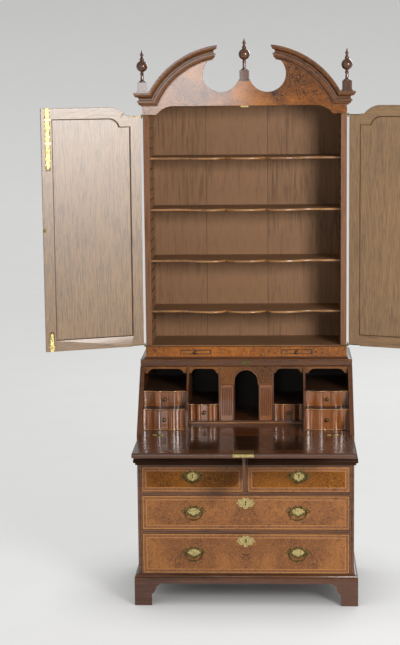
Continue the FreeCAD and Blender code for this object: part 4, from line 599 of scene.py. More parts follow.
def flat_plate(outlines, thickness, rim, finish):
    """A plate cut from outlines in x and z, its holes included, with a softened rim. It faces
    the front and its back is in the plane y = 0."""
    curve = bpy.data.curves.new("plate", "CURVE")
    curve.dimensions = "2D"
    curve.fill_mode = "BOTH"
    curve.extrude = thickness / 2 - rim
    curve.bevel_depth = rim
    curve.bevel_resolution = 1
    for outline in outlines:
        add_spline(curve, [(x, z, 0) for x, z in outline], True)
    mesh = plain_mesh(linked("plate", curve), finish)
    mesh.transform(Matrix.Translation((0, -thickness / 2, 0)) @ Matrix.Rotation(QUARTER, 4, "X"))
    return mesh


def add_spline(curve, places, closed):
    """A line of straight runs through places."""
    spline = curve.splines.new("POLY")
    spline.points.add(len(places) - 1)
    for point, place in zip(spline.points, places):
        point.co = (*place, 1)
    spline.use_cyclic_u = closed


def arc_points(points, steps=7):
    """Points x, z and the height of the arc to the next, made into a smooth outline."""
    outline = []
    for (x0, z0, bow), (x1, z1, _) in zip(points, points[1:] + points[:1]):
        start, stop = Vector((x0, z0)), Vector((x1, z1))
        left = Vector((z0 - z1, x1 - x0)).normalized()
        for step in range(steps if bow else 1):
            share = step / steps
            outline.append(tuple(start.lerp(stop, share) + left * bow * 4 * share * (1 - share)))
    return outline


def both_halves(points):
    """An outline given for the right half, completed on the left."""
    left = []
    for index in range(len(points) - 1, -1, -1):
        bow = points[index - 1][2] if index else 0
        left.append((-points[index][0], points[index][1], bow))
    return points + left


def oval(x, z, radius, tall=1.0, lean=0.0, steps=14):
    """A round or oval hole."""
    outline = []
    for step in range(steps):
        angle = 2 * math.pi * step / steps
        across, up = radius * math.cos(angle), radius * tall * math.sin(angle)
        outline.append((x + across * math.cos(lean) - up * math.sin(lean),
                        z + across * math.sin(lean) + up * math.cos(lean)))
    return outline


TIMBERS = {
    "case_sides": "walnut_up", "drawer_dividers": "walnut_across", "loper_housing": "walnut_up",
    "case_backboards": "recess", "desk_top_board": "walnut_across", "writing_bed": "bed",
    # The waist moulding takes painted shade, the shadow under the fall.
    "waist_moulding": "walnut_painted_shade", "base_moulding": "walnut_across", "bracket_feet": "feet",
    "pigeonhole_partitions": "walnut_up", "pigeonhole_shelves": "shelf_dark",
    "pigeonhole_valances": "burr_arch", "arch_front": "burr_arch", "cabinet_sides": "oak_sides",
    "cabinet_boards": "oak_across", "cabinet_backboards": "oak_back", "bookcase_shelves": "oak_across",
    "candle_frieze": "burr_gold", "mid_moulding": "walnut_across", "pediment_board": "burr_head",
    "cornice_mouldings": "cornice", "finials": "finial", "fall_panel": "bed", "loper": "walnut_deep",
    **{f"{side}_door_{part}": f"{part}_{side}" for side in SIDES for part in ("frame", "panel")},
    **dict.fromkeys(SLIDES, "burr_gold"),
    **dict.fromkeys(DOCUMENT_BOXES + SMALL_DRAWERS, "inner_up"),
    **dict.fromkeys(BIG_DRAWERS, "oak_drawer"),
}
METALS = {
    "fixed_brass": "old_brass", "right_door_brass": "old_brass", "fall_brass": "boss_brass",
    "left_door_top_bolt": "bright_brass", "left_door_low_bolt": "bright_brass",
}
# Corners closer than this are one corner of a solid.
WELD = 0.02 * MM


def give_finish(node, finish):
    mesh = NODES[node].data
    mesh.materials.clear()
    mesh.materials.append(finish_of(finish))


def welded(node):
    """A solid's triangles with their corners joined."""
    build = bmesh.new()
    build.from_mesh(NODES[node].data)
    bmesh.ops.remove_doubles(build, verts=build.verts, dist=WELD)
    return build


def soften(node, width):
    """Worn edges on a solid: its triangles are welded, and sharp edges rounded a little. Boards
    that touch at an edge or a corner stay as they are, because a weld would join them there."""
    build = welded(node)
    apart = all(place.is_manifold for place in (*build.verts, *build.edges))
    build.free()
    if apart:
        NODES[node].modifiers.new("welded", "WELD").merge_threshold = WELD
        bevel = NODES[node].modifiers.new("worn edges", "BEVEL")
        bevel.width = width
        bevel.segments = 2
        bevel.limit_method = "ANGLE"
        bevel.angle_limit = math.radians(35)


class EscritoireTimberFinish(bpy.types.Operator):
    """Give every wooden solid its timber and worn edges"""
    bl_idname = "escritoire.timber_finish"
    bl_label = "Timber"

    def execute(self, context):
        for node, finish in TIMBERS.items():
            give_finish(node, finish)
            soften(node, chosen("sizes").soft_edge)
        return {"FINISHED"}


class EscritoireMetalFinish(bpy.types.Operator):
    """Give the brass and mirror solids their finish"""
    bl_idname = "escritoire.metal_finish"
    bl_label = "Brass and mirrors"

    def execute(self, context):
        for node, finish in METALS.items():
            give_finish(node, finish)
            soften(node, chosen("sizes").soft_edge / 3)
        for side in SIDES:
            give_finish(f"{side}_door_mirror", "mirror")
        return {"FINISHED"}


def shrunk(field, width):
    """A field x0, x1, z0, z1 within a border of some width."""
    x0, x1, z0, z1 = field
    return x0 + width, x1 - width, z0 + width, z1 - width


def add_border(build, field, width, back, front, finish_flat, finish_up):
    """Four mitred strips around a field, in the plane of the front."""
    outer, inner = ([(x0, z0), (x1, z0), (x1, z1), (x0, z1)]
                    for x0, x1, z0, z1 in (field, shrunk(field, width)))
    for side in range(4):
        after = (side + 1) % 4
        ring = [outer[side], outer[after], inner[after], inner[side]]
        low, high = ([build.verts.new((x, y, z)) for x, z in ring] for y in (back, front))
        faces = [build.faces.new(low), build.faces.new(high)]
        for step in range(4):
            then = (step + 1) % 4
            faces.append(build.faces.new((low[step], low[then], high[then], high[step])))
        for face in faces:
            face.material_index = finish_up if side % 2 else finish_flat


def banded_veneer(field, band, back, front, burr):
    """Crossbanding, the two strips of a herringbone band, and a field of burr."""
    feather = chosen("sizes").feather
    build = bmesh.new()
    add_border(build, field, band, back, front, 0, 1)
    field = shrunk(field, band)
    for finish in (2, 3):
        add_border(build, field, feather, back, front, finish, 5 - finish)
        field = shrunk(field, feather)
    x0, x1, z0, z1 = field
    add_block(build, (x0, front, z0), (x1, back, z1), 4)
    return mesh_of(build, "band_up", "band_across", "line_left", "line_right", burr)


class EscritoireDrawerVeneers(bpy.types.Operator):
    """Lay burr fields, herringbone bands and crossbanding on the four large drawers"""
    bl_idname = "escritoire.drawer_veneers"
    bl_label = "Drawer veneers"

    def execute(self, context):
        size, cock_bead = chosen("sizes"), 5.3 * MM
        for drawer in BIG_DRAWERS:
            low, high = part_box(drawer)
            field = shrunk((low.x, high.x, low.z, high.z), cock_bead)
            burr = "burr_short" if "short" in drawer else "burr_matched"
            mesh = banded_veneer(field, size.crossband, FRONT, FRONT - size.veneer, burr)
            new_piece(f"{drawer}_veneer", mesh, drawer, "burr_walnut")
        return {"FINISHED"}


def node_tree(name, **inputs):
    """An empty Geometry Nodes tree with named inputs, each a kind of socket and its default."""
    tree = bpy.data.node_groups.new(name, "GeometryNodeTree")
    inputs = {"Geometry": ("Geometry", None), **inputs, "Finish": ("Material", None)}
    for label, (kind, default) in inputs.items():
        socket = tree.interface.new_socket(name=label, in_out="INPUT", socket_type=f"NodeSocket{kind}")
        if default is not None:
            socket.default_value = default
    tree.interface.new_socket(name="Geometry", in_out="OUTPUT", socket_type="NodeSocketGeometry")
    return tree, add(tree, "NodeGroupInput").outputs


def close_tree(tree, given, geometry):
    """Every tree ends in real geometry with one finish."""
    real = add(tree, "GeometryNodeRealizeInstances", {0: geometry}).outputs[0]
    done = add(tree, "GeometryNodeSetMaterial", {"Geometry": real, "Material": given["Finish"]})
    add(tree, "NodeGroupOutput", {0: done.outputs[0]})
    return tree


@functools.cache
def bead_tree():
    """A round bead along every path of the object."""
    tree, given = node_tree("Bead along a path", Radius=("Float", 3 * MM), Sides=("Int", 10))
    ring = add(tree, "GeometryNodeCurvePrimitiveCircle",
               {"Resolution": given["Sides"], "Radius": given["Radius"]}).outputs[0]
    bead = add(tree, "GeometryNodeCurveToMesh",
               {"Curve": given["Geometry"], "Profile Curve": ring, "Fill Caps": True}).outputs[0]
    return close_tree(tree, given, bead)


@functools.cache
def screw_tree():
    """A countersunk screw head with its slot on every point."""
    tree, given = node_tree("Screw head on a point", Radius=("Float", 3 * MM), Height=("Float", 0.8 * MM),
                            Turn=("Vector", (0, 0, 0)), Seed=("Int", 7))
    radius, height = given["Radius"], given["Height"]
    head = add(tree, "GeometryNodeMeshCone", {"Vertices": 20, "Radius Top": radius, "Radius Bottom": radius,
                                              "Depth": height}).outputs["Mesh"]
    long, wide = (calc(tree, "MULTIPLY", radius, share) for share in (2.4, 0.26))
    slot = add(tree, "ShaderNodeCombineXYZ", {0: long, 1: wide, 2: height}).outputs[0]
    bar = add(tree, "GeometryNodeMeshCube", {"Size": slot}).outputs["Mesh"]
    lift = add(tree, "ShaderNodeCombineXYZ", {2: height}).outputs[0]
    bar = add(tree, "GeometryNodeTransform", {"Geometry": bar, "Translation": lift}).outputs[0]
    cut = add(tree, "GeometryNodeMeshBoolean", {0: head, 1: bar}, operation="DIFFERENCE").outputs["Mesh"]
    swing = add(tree, "FunctionNodeRandomValue", {"Max": (0, 0, 3.1), "Seed": given["Seed"]},
                data_type="FLOAT_VECTOR").outputs["Value"]
    laid = add(tree, "GeometryNodeInstanceOnPoints",
               {"Points": given["Geometry"], "Instance": cut, "Rotation": given["Turn"]}).outputs[0]
    laid = add(tree, "GeometryNodeRotateInstances", {"Instances": laid, "Rotation": swing}).outputs[0]
    return close_tree(tree, given, laid)


def grow(item, tree, finish, **values):
    """Run a tree on an object and keep the plain mesh."""
    change = item.modifiers.new("made by rule", "NODES")
    change.node_group = tree
    values["Finish"] = finish_of(finish)
    for socket in tree.interface.items_tree:
        if socket.in_out == "INPUT" and socket.name in values:
            change[socket.identifier] = values[socket.name]
    return plain_mesh(item, finish)


def grow_beads(paths, radius, finish, closed=False, sides=10):
    """Beads along paths of points, as one plain mesh."""
    curve = bpy.data.curves.new("paths", "CURVE")
    curve.dimensions = "3D"
    for path in paths:
        add_spline(curve, path, closed)
    mesh = grow(linked("paths", curve), bead_tree(), finish, Radius=radius, Sides=sides)
    mesh.shade_smooth()
    return mesh


def grow_screws(places, radius, finish, turn=(0, 0, 0)):
    """Screw heads on points that all face one way, as one plain mesh."""
    points = bpy.data.meshes.new("points")
    points.from_pydata(places, [], [])
    return grow(linked("points", points), screw_tree(), finish, Radius=radius, Turn=turn)


class EscritoireRailBeads(bpy.types.Operator):
    """Run paired half-round beads along the rails, the muntin and the fronts of the case sides, and
    one along the desk top"""
    bl_idname = "escritoire.rail_beads"
    bl_label = "Rail beads"

    def execute(self, context):
        drawers = ("lower_long_drawer", "upper_long_drawer", "right_short_drawer")
        lower, upper, short = (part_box(drawer) for drawer in drawers)
        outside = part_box("case_sides")[1].x
        top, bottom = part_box("waist_moulding")[0].z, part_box("base_moulding")[1].z
        edge, into_side, into_rail, muntin = lower[1].x, 5 * MM, 3 * MM, 6.5 * MM
        paths, pair = [], (0.27, 0.73)
        for share in pair:
            for below, above in ((lower[1].z, upper[0].z), (upper[1].z, short[0].z)):
                height = below + (above - below) * share
                paths.append([(side * (edge + into_side), FRONT, height) for side in MIRRORED])
            across = edge + (outside - edge) * share
            paths += [[(side * across, FRONT, z) for z in (bottom, top)] for side in MIRRORED]
        paths += [[(side * muntin, FRONT, z) for z in (short[0].z - into_rail, top)] for side in MIRRORED]
        new_piece("rail_beads", grow_beads(paths, chosen("sizes").bead, "rail"), "carcass", "walnut")
        low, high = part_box("desk_top_board")
        # The desk top's bead has the pale nose finish, painted highlight along its edge.
        ridge_bead, from_end, behind, below = 2.4 * MM, 2 * MM, 0.8 * MM, 3.4 * MM
        ridge = [(side * (high.x - from_end), low.y + behind, high.z - below) for side in MIRRORED]
        new_piece("desk_top_bead", grow_beads([ridge], ridge_bead, "nose"), "carcass", "walnut")
        return {"FINISHED"}


# The right half of a bat-wing plate, as shares of its half width and half height, with the bow of
# the arc to the next point as a share of its height.
PLATE_HALF = (
    (0.05, 0.80, 0.02), (0.20, 1.00, 0.03), (0.38, 0.62, -0.03), (0.62, 0.72, 0.05), (0.80, 0.28, -0.02),
    (1.00, 0.06, 0), (0.80, -0.20, -0.03), (0.66, -0.56, 0.04), (0.36, -0.56, -0.03), (0.22, -0.80, 0.03),
    (0.00, -1.00, 0),
)
# Piercings of a wing: place across and up, as shares of width and height, radius as a share of
# height, how tall the oval is, and how it leans.
PIERCINGS = ((0.33, 0.17, 0.075, 0.8, 0.5), (0.4, 0.01, 0.06, 1.0, 0.0), (0.24, 0.2, 0.07, 1.3, -0.4),
             (0.27, -0.12, 0.06, 1.4, 0.3))
KEYHOLE_RADIUS = 4.4 * MM
# Width and height of a bat-wing plate, its boss, the locked boss of a short drawer, and the key
# plates of a long drawer and of the fall.
WING_PLATE, BOSS, LOCK_BOSS = (114 * MM, 56 * MM), (56 * MM, 32 * MM), (52 * MM, 40 * MM)
KEY_PLATE, FALL_PLATE = (84 * MM, 52 * MM), (70 * MM, 44 * MM)
# Radius of a bail's wire at its ends, with its play.
BAIL_WIRE = 2.4 * MM
# A post that carries a bail, and a knob, in millimetres of radius and distance.
POST = ((3.6, 0), (3.6, 1.2), (2.4, 1.8), (2.3, 3.6), (3.2, 4.4), (4.1, 6.2), (3.6, 8.4), (2.0, 9.8),
        (0, 10.2))
KNOB = ((0, -0.4), (3.4, 0.1), (6.3, 2.2), (8.1, 5.4), (8.4, 8.4), (7.3, 12.0), (4.9, 14.6), (3.6, 16.2),
        (3.7, 17.6), (5.8, 18.6), (7.6, 19.6), (7.8, 20.8), (7.8, 21.2))


def plate_outline(width, height):
    right = [(x * width / 2, z * height / 2, bow * height) for x, z, bow in PLATE_HALF]
    return arc_points(both_halves(right))


def keyhole_outline(z, radius):
    """A round hole with a slot below it."""
    outline = []
    for step in range(13):
        angle = math.radians(-60 + 300 * step / 12)
        outline.append((radius * math.cos(angle), z + radius * math.sin(angle)))
    return outline + [(side * radius * 0.85, z - radius * 3.2) for side in MIRRORED]


def pierced_plate(width, height):
    """A bat-wing plate with the usual piercings of its two wings."""
    outlines = [plate_outline(width, height)]
    for side in MIRRORED:
        outlines += [oval(side * width * x, height * z, height * radius, tall, side * lean)
                     for x, z, radius, tall, lean in PIERCINGS]
    return flat_plate(outlines, 1.6 * MM, 0.4 * MM, "old_brass")


def key_plate(width, height, key_height):
    """A bright plate with a keyhole, and the painted shade of the lock in it."""
    outlines = [plate_outline(width, height), keyhole_outline(key_height, KEYHOLE_RADIUS)]
    outlines += [oval(side * width * 0.36, height * 0.04, height * 0.06, 0.8) for side in MIRRORED]
    lock = [keyhole_outline(key_height, KEYHOLE_RADIUS * 1.15)]
    return [flat_plate(outlines, 1.8 * MM, 0.5 * MM, "boss_brass"),
            flat_plate(lock, 0.5 * MM, 0.1 * MM, "keyhole")]


def reach_of(bail):
    """Half the distance between the ends of a bail."""
    low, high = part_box(bail)
    return (high.x - low.x) / 2 - BAIL_WIRE


class EscritoireDrawerBrass(bpy.types.Operator):
    """Make pierced bat-wing plates, posts and key plates for the large drawers"""
    bl_idname = "escritoire.drawer_brass"
    bl_label = "Drawer plates"

    def execute(self, context):
        ground, from_top = FRONT - chosen("sizes").veneer / 2, 32 * MM
        for drawer in BIG_DRAWERS:
            parts = []
            for bail in (bail for bail in BAILS if bail.startswith(drawer)):
                x, _, z = JOINTS[f"{bail}_swing"]["pos_m"]
                if "short" in drawer:
                    lift, boss = -6 * MM, key_plate(*LOCK_BOSS, 7 * MM)
                else:
                    outline = plate_outline(*BOSS)
                    lift, boss = 4 * MM, [flat_plate([outline], 2.4 * MM, 1.1 * MM, "boss_brass")]
                parts.append(moved(pierced_plate(*WING_PLATE), (x, ground, z + lift)))
                parts += [moved(part, (x, ground - 1 * MM, z + lift)) for part in boss]
                build = bmesh.new()
                for side in MIRRORED:
                    add_lathe(build, (x + side * reach_of(bail), FRONT, z), (0, -1, 0), POST, 16)
                parts.append(mesh_of(build, "old_brass", smooth=True))
            if "long" in drawer:
                place = (0, ground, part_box(drawer)[1].z - from_top)
                parts += [moved(part, place) for part in key_plate(*KEY_PLATE, 6 * MM)]
            new_piece(f"{drawer}_plates", join(parts), drawer, "brass", f"{drawer}_brass")
        return {"FINISHED"}


class EscritoireBails(bpy.types.Operator):
    """Make the swinging handles, swelled at the grip and turned in at the posts"""
    bl_idname = "escritoire.bails"
    bl_label = "Bails"

    def execute(self, context):
        steps, sides = 36, 12
        thin, swell, collar = 1.7 * MM, 1.5 * MM, 0.7 * MM
        for bail in BAILS:
            x, y, z = JOINTS[f"{bail}_swing"]["pos_m"]
            reach, drop = reach_of(bail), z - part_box(bail)[0].z - BAIL_WIRE
            build = bmesh.new()
            rings = []
            for step in range(steps + 1):
                angle = math.pi * step / steps
                across, down = math.cos(angle), math.sin(angle)
                thick = (thin + swell * math.exp(-((angle - QUARTER) / 0.45) ** 2)
                         + collar * math.exp(-((down - 0.62) / 0.06) ** 2))
                centre = Vector((x - reach * across, y, z - drop * down ** 0.8))
                out, back = Vector((-across, 0, -down)), Vector((0, 1, 0))
                rings.append(add_ring(build, centre, out, back, thick, sides))
            stitch(build, rings, sides)
            new_piece(f"{bail}_grip", mesh_of(build, "old_brass", smooth=True), bail, "brass", bail)
        return {"FINISHED"}


class EscritoireKnobs(bpy.types.Operator):
    """Turn the brass knobs of the small drawers and candle slides"""
    bl_idname = "escritoire.knobs"
    bl_label = "Small knobs"

    def execute(self, context):
        # A slide's knob is 17.2 mm long, a drawer's as long as its profile.
        slide_knob = 17.2 / KNOB[-1][1]
        for drawer in SMALL_DRAWERS + SLIDES:
            low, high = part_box(drawer)
            centre = ((low.x + high.x) / 2, low.y, (low.z + high.z) / 2)
            build = bmesh.new()
            add_lathe(build, centre, (0, 1, 0), KNOB, scale=MM * (slide_knob if drawer in SLIDES else 1))
            new_piece(f"{drawer}_knob", mesh_of(build, "old_brass", smooth=True), drawer, "brass")
        return {"FINISHED"}


def boards_of(node):
    """The points of each board in a node."""
    build = welded(node)
    left, boards = set(build.verts), []
    while left:
        board, edge = set(), [next(iter(left))]
        while edge:
            vert = edge.pop()
            if vert not in board:
                board.add(vert)
                edge += [link.other_vert(vert) for link in vert.link_edges]
        left -= board
        boards.append([vert.co.copy() for vert in board])
    build.free()
    return boards


def nose_paths(node, radius, proud):
    """Paths for a round nose along the front edge of each board in a node."""
    paths, same = [], 0.1 * MM
    for points in boards_of(node):
        heights, depths = [point.z for point in points], [point.y for point in points]
        top, middle = max(heights), (min(depths) + max(depths)) / 2
        edge = sorted((point for point in points if point.z > top - same and point.y < middle),
                      key=lambda point: (round(point.x, 4), -point.y))
        if abs(edge[0].x - edge[1].x) < same:
            edge = edge[1:-1]
        height = (top + min(heights)) / 2
        paths.append([(point.x, point.y + radius - proud, height) for point in edge])
    return paths


class EscritoireShelfNoses(bpy.types.Operator):
    """Round the serpentine fronts of the bookcase shelves and of the pigeonhole shelves"""
    bl_idname = "escritoire.shelf_noses"
    bl_label = "Shelf noses"

    def execute(self, context):
        for node, radius, proud in (("bookcase_shelves", 5.1 * MM, 1.6 * MM),
                                    ("pigeonhole_shelves", 2.5 * MM, 1.1 * MM)):
            # The noses are paler than the walnut: painted highlight along the fronts.
            mesh = grow_beads(nose_paths(node, radius, proud), radius, "nose")
            new_piece(f"{node}_nose", mesh, "carcass", "walnut")
        return {"FINISHED"}


class EscritoireInnerBeads(bpy.types.Operator):
    """Run the pale beads of the arch and of the step below the pigeonholes"""
    bl_idname = "escritoire.inner_beads"
    bl_label = "Interior beads"

    def execute(self, context):
        low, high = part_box("arch_front")
        radius, spring, bead, steps = 54 * MM, low.z + 13 * MM, 1.6 * MM, 32
        arch = [(-radius, low.y, low.z)]
        for step in range(steps + 1):
            angle = math.pi * (1 - step / steps)
            arch.append((radius * math.cos(angle), low.y, spring + radius * math.sin(angle)))
        arch.append((radius, low.y, low.z))
        ledges = [[(side * x, low.y, low.z + bead) for x in (radius, high.x)] for side in MIRRORED]
        new_piece("arch_beads", grow_beads([arch, *ledges], bead, "inner_up"), "carcass", "walnut")
        # The step's bead has the pale nose finish, painted highlight along the step's edge.
        half, face, height = 254 * MM, 117 * MM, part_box("writing_bed")[1].z - 8 * MM
        step_path = [(side * half, face, height) for side in MIRRORED]
        new_piece("step_bead", grow_beads([step_path], 2.3 * MM, "nose"), "carcass", "walnut")
        return {"FINISHED"}


class EscritoireFlutes(bpy.types.Operator):
    """Lay painted shade in the flutes of the two pilasters, a dark bead in each"""
    bl_idname = "escritoire.flutes"
    bl_label = "Flutes"

    def execute(self, context):
        flutes, depth, foot, head = 6, 6.1 * MM, 19 * MM, 15 * MM
        for box in DOCUMENT_BOXES:
            low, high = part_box(box)
            pitch = (high.x - low.x) / (flutes + 1)
            paths = [[(low.x + pitch * (flute + 1), low.y + depth, z) for z in (low.z + foot, high.z - head)]
                     for flute in range(flutes)]
            new_piece(f"{box}_flute_wax", grow_beads(paths, 2.4 * MM, "flute"), box, "walnut")
        return {"FINISHED"}


class EscritoireSlideBeads(bpy.types.Operator):
    """Frame the fronts of the candle slides with a dark bead and a pale line"""
    bl_idname = "escritoire.slide_beads"
    bl_label = "Candle slide beads"

    def execute(self, context):
        face, bead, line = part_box("candle_frieze")[0].y, 3.4 * MM, 1.2 * MM
        for slide in SLIDES:
            low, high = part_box(slide)
            field = (low.x, high.x, low.z, high.z)
            build = bmesh.new()
            add_border(build, field, bead, face, face - 1.4 * MM, 0, 0)
            add_border(build, shrunk(field, bead), line, face, face - 0.6 * MM, 1, 1)
            new_piece(f"{slide}_bead", mesh_of(build, "shelf_dark", "line_left"), slide, "walnut")
        return {"FINISHED"}


class EscritoireFallFaces(bpy.types.Operator):
    """Lay the dark field inside the fall and the burr outside it, with its lip, key plate and lock edge"""
    bl_idname = "escritoire.fall_faces"
    bl_label = "Fall faces"

    def execute(self, context):
        low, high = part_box("fall_panel")
        thin, banding, key_from_front = 0.3 * MM, 26 * MM, 46 * MM
        field_half, from_front, from_hinge = 345 * MM, 84 * MM, 24 * MM
        side_margin, hinge_margin, front_margin = 6 * MM, 14 * MM, 12 * MM
        lip_ends, lip_back, lip_down, lip_radius = (44.4 * MM, 464 * MM), 8.2 * MM, 5.6 * MM, 9 * MM
        lock_half, lock_tall, lock_deep, lock_proud = 44 * MM, 12 * MM, 2.5 * MM, 0.6 * MM
        # The outside is drawn upright, with y for z, and laid under the fall.
        lay = Matrix.Rotation(QUARTER, 4, "X")
        outside = low.z - thin
        build = bmesh.new()
        add_block(build, (-field_half, low.y + from_front, high.z),
                  (field_half, high.y - from_hinge, high.z + thin))
        new_piece("fall_field", mesh_of(build, "field"), "fall", "walnut")
        field = (low.x + side_margin, high.x - side_margin, hinge_margin - high.y, -low.y - front_margin)
        mesh = banded_veneer(field, banding, low.z, outside, "burr_fall")
        mesh.transform(lay)
        new_piece("fall_veneer", mesh, "fall", "burr_walnut")
        mesh = moved(join(key_plate(*FALL_PLATE, 2 * MM)), (0, outside, -low.y - key_from_front))
        mesh.transform(lay)
        new_piece("fall_key_plate", mesh, "fall", "brass")
        lip = [[(side * x, low.y + lip_back, high.z - lip_down) for x in lip_ends] for side in MIRRORED]
        new_piece("fall_lip", grow_beads(lip, lip_radius, "lip", sides=48), "fall", "walnut")
        build = bmesh.new()
        add_block(build, (-lock_half, low.y - lock_proud, high.z - lock_tall),
                  (lock_half, low.y + lock_deep, high.z + 0.1 * MM), soft=0.5 * MM)
        new_piece("fall_lock_edge", mesh_of(build, "boss_brass"), "fall", "brass")
        return {"FINISHED"}


# A door in its own frame: its lower edge, the shoulder and the top of its head, its edges next to
# and away from the pivot, where the head's flat ends, and the radius of the curve down from there.
DOOR_LOW, DOOR_SHOULDER, DOOR_TOP = 1116 * MM, 2148 * MM, 2185 * MM
DOOR_NEAR, DOOR_FAR = 5 * MM, 457.3 * MM
DOOR_FLAT, DOOR_CURVE = 149.47 * MM, 96.56 * MM


def door_path(side, inset, depth):
    """The outline of a door's sight, at an inset from its edge and a depth from its inner face."""
    sign = 1 if side == "left" else -1
    low, shoulder, top = DOOR_LOW + inset, DOOR_SHOULDER - inset, DOOR_TOP - inset
    near, far, radius = DOOR_NEAR + inset, DOOR_FAR - inset, DOOR_CURVE - inset
    rise, steps = top - shoulder, 9
    run = math.sqrt(2 * rise * radius - rise * rise)
    outline = [(near, low), (far, low), (far, top)]
    for step in range(steps + 1):
        across = run * step / steps
        outline.append((DOOR_FLAT - across, top - radius + math.sqrt(radius * radius - across * across)))
    outline.append((near, shoulder))
    return [hung(side) @ Vector((sign * x, depth, z)) for x, z in outline]


class EscritoireDoorMouldings(bpy.types.Operator):
    """Run the beads that hold the door panels and the mirror plates"""
    bl_idname = "escritoire.door_mouldings"
    bl_label = "Door mouldings"

    def execute(self, context):
        # Inset from the door's edge, depth from its inner face, radius, finish and slot.
        # The inner bead's dark finish is painted shade, the shadow line round the panel.
        beads = {"inner": (49 * MM, -4.4 * MM, 3.4 * MM, "bead_oak", "oak"),
                 "outer": (55 * MM, -22.4 * MM, 4 * MM, "walnut_up", "walnut")}
        for side in SIDES:
            for face, (inset, depth, radius, finish, slot) in beads.items():
                mesh = grow_beads([door_path(side, inset, depth)], radius, finish, closed=True)
                new_piece(f"{side}_door_{face}_bead", mesh, f"{side}_door", slot)
        return {"FINISHED"}


def pointed_plate(square, point, half, slot, thick, finish):
    """A long plate from a square end to a cusped point, with a slot for a bolt's knob."""
    way = math.copysign(MM, point - square)
    knob = 4.4 * MM
    right = [(half, square), (half, point - way * 20), (half * 0.62, point - way * 15),
             (half * 0.9, point - way * 10)]
    outline = [*right, (0, point), *((-x, z) for x, z in reversed(right))]
    hole = [(-knob, slot[0]), (knob, slot[0]), (knob, slot[1]), (-knob, slot[1])]
    mesh = flat_plate([outline, hole], thick, thick / 5, finish)
    mesh.transform(Matrix.Rotation(math.pi, 4, "Z"))
    return mesh


class EscritoireDoorBolts(bpy.types.Operator):
    """Make the pointed bolt plates, straps, strike and pivot arms of the left door"""
    bl_idname = "escritoire.door_bolts"
    bl_label = "Door bolts"

    def execute(self, context):
        middle, face = 429.3 * MM, -0.3 * MM
        rim = face - 0.5 * MM
        # Each plate has a square end, a point, and the ends of its slot; it is a dull plate with a
        # narrower and shorter bright one on it, whose faces lie in the door.
        plates = ((DOOR_TOP, 1915 * MM, (1991.5 * MM, 2012.5 * MM)),
                  (DOOR_LOW, 1204 * MM, (1161 * MM, 1182.5 * MM)))
        layers = ((12 * MM, rim, 1.5 * MM, 0, "old_brass"),
                  (7.6 * MM, face, 0.55 * MM, 6 * MM, "bright_brass"))
        parts = []
        for half, outer, thick, short, finish in layers:
            for square, point, slot in plates:
                tip = point + math.copysign(short, square - point)
                parts.append(moved(pointed_plate(square, tip, half, slot, thick, finish),
                                   (middle, outer - thick, 0)))
        build = bmesh.new()
        strap_half, strap_rise = 13 * MM, 3.5 * MM
        for height in (2136 * MM, 2034 * MM, 1136 * MM):
            add_block(build, (middle - strap_half, -2 * MM, height - strap_rise),
                      (middle + strap_half, 1.4 * MM, height + strap_rise), soft=0.8 * MM)
        parts.append(mesh_of(build, "boss_brass"))
        build = bmesh.new()
        strike_from, strike_low, strike_high = 445.3 * MM, 1644.9 * MM, 1668.9 * MM
        add_block(build, (strike_from, face, strike_low), (DOOR_FAR, 1.2 * MM, strike_high))
        arm_from, arm_to, arm_back, arm_thick = 2 * MM, 56.6 * MM, -16.3 * MM, 3 * MM
        for height in (1118.8 * MM, 2141.8 * MM):
            add_block(build, (arm_from, arm_back, height), (arm_to, face, height + arm_thick))
            add_lathe(build, (0, 0, height), (0, 0, 1), ((4.6, 0), (4.8, 0.6), (4.8, 3)))
        parts.append(mesh_of(build, "old_brass"))
        heights, screw_out = (2176, 2100, 2060, 1960, 1940, 1125, 1150), 9.8 * MM
        spots = [(middle + side * screw_out, rim, height * MM) for height in heights for side in MIRRORED]
        parts.append(grow_screws(spots, 1.9 * MM, "boss_brass", (-QUARTER, 0, 0)))
        mesh = join(parts)
        mesh.transform(hung("left"))
        new_piece("left_door_bolt_plates", mesh, "left_door", "brass", "left_door_brass")
        return {"FINISHED"}


class EscritoireScrews(bpy.types.Operator):
    """Set the screws of the fall's hinges and lock, and the small plate that stops the doors"""
    bl_idname = "escritoire.screws"
    bl_label = "Screws"

    def execute(self, context):
        behind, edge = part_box("pediment_board")[1].y, 2187 * MM
        half, drop, rise, thick = 17 * MM, 7 * MM, 14 * MM, 2 * MM
        build = bmesh.new()
        add_block(build, (-half, behind, edge - drop), (half, behind + thick, edge + rise), soft=0.4 * MM)
        new_piece("door_stop", mesh_of(build, "bright_brass"), "carcass", "brass")
        low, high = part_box("fall_panel")
        radius, from_joint, hinge, pitch = chosen("sizes").screw, 12 * MM, 381 * MM, 16 * MM
        across = [side * (hinge + step * pitch) for side in MIRRORED for step in (-1, 0, 1)]
        leaf = [(x, high.y - from_joint, high.z) for x in across]
        lock = [(x * MM, low.y + y * MM, high.z) for x in (-36, 36) for y in (12, 62)]
        new_piece("fall_screws", grow_screws(leaf + lock, radius, "old_brass"), "fall", "brass")
        fixed = [(x, FRONT + from_joint, high.z) for x in across]
        new_piece("bed_screws", grow_screws(fixed, radius, "old_brass"), "carcass", "brass")
        return {"FINISHED"}


# Place, aim, width and height in metres, and watts of each lamp.
LAMPS = {
    "key": ((2.65, -4.5, 2.6), (0, 0.1, 1.4), (1.5, 1.5), 270),
    "window": ((-0.86, -8.4, 2.3), (-0.2, 0.1, 2.3), (1.24, 0.9), 38),
    "left fill": ((-4.5, -4.5, 3.4), (0, 0, 1.0), (2.0, 2.0), 28),
    "back fill": ((2.5, 6.0, 3.8), (0, 0.2, 1.2), (2.5, 2.5), 110),
}


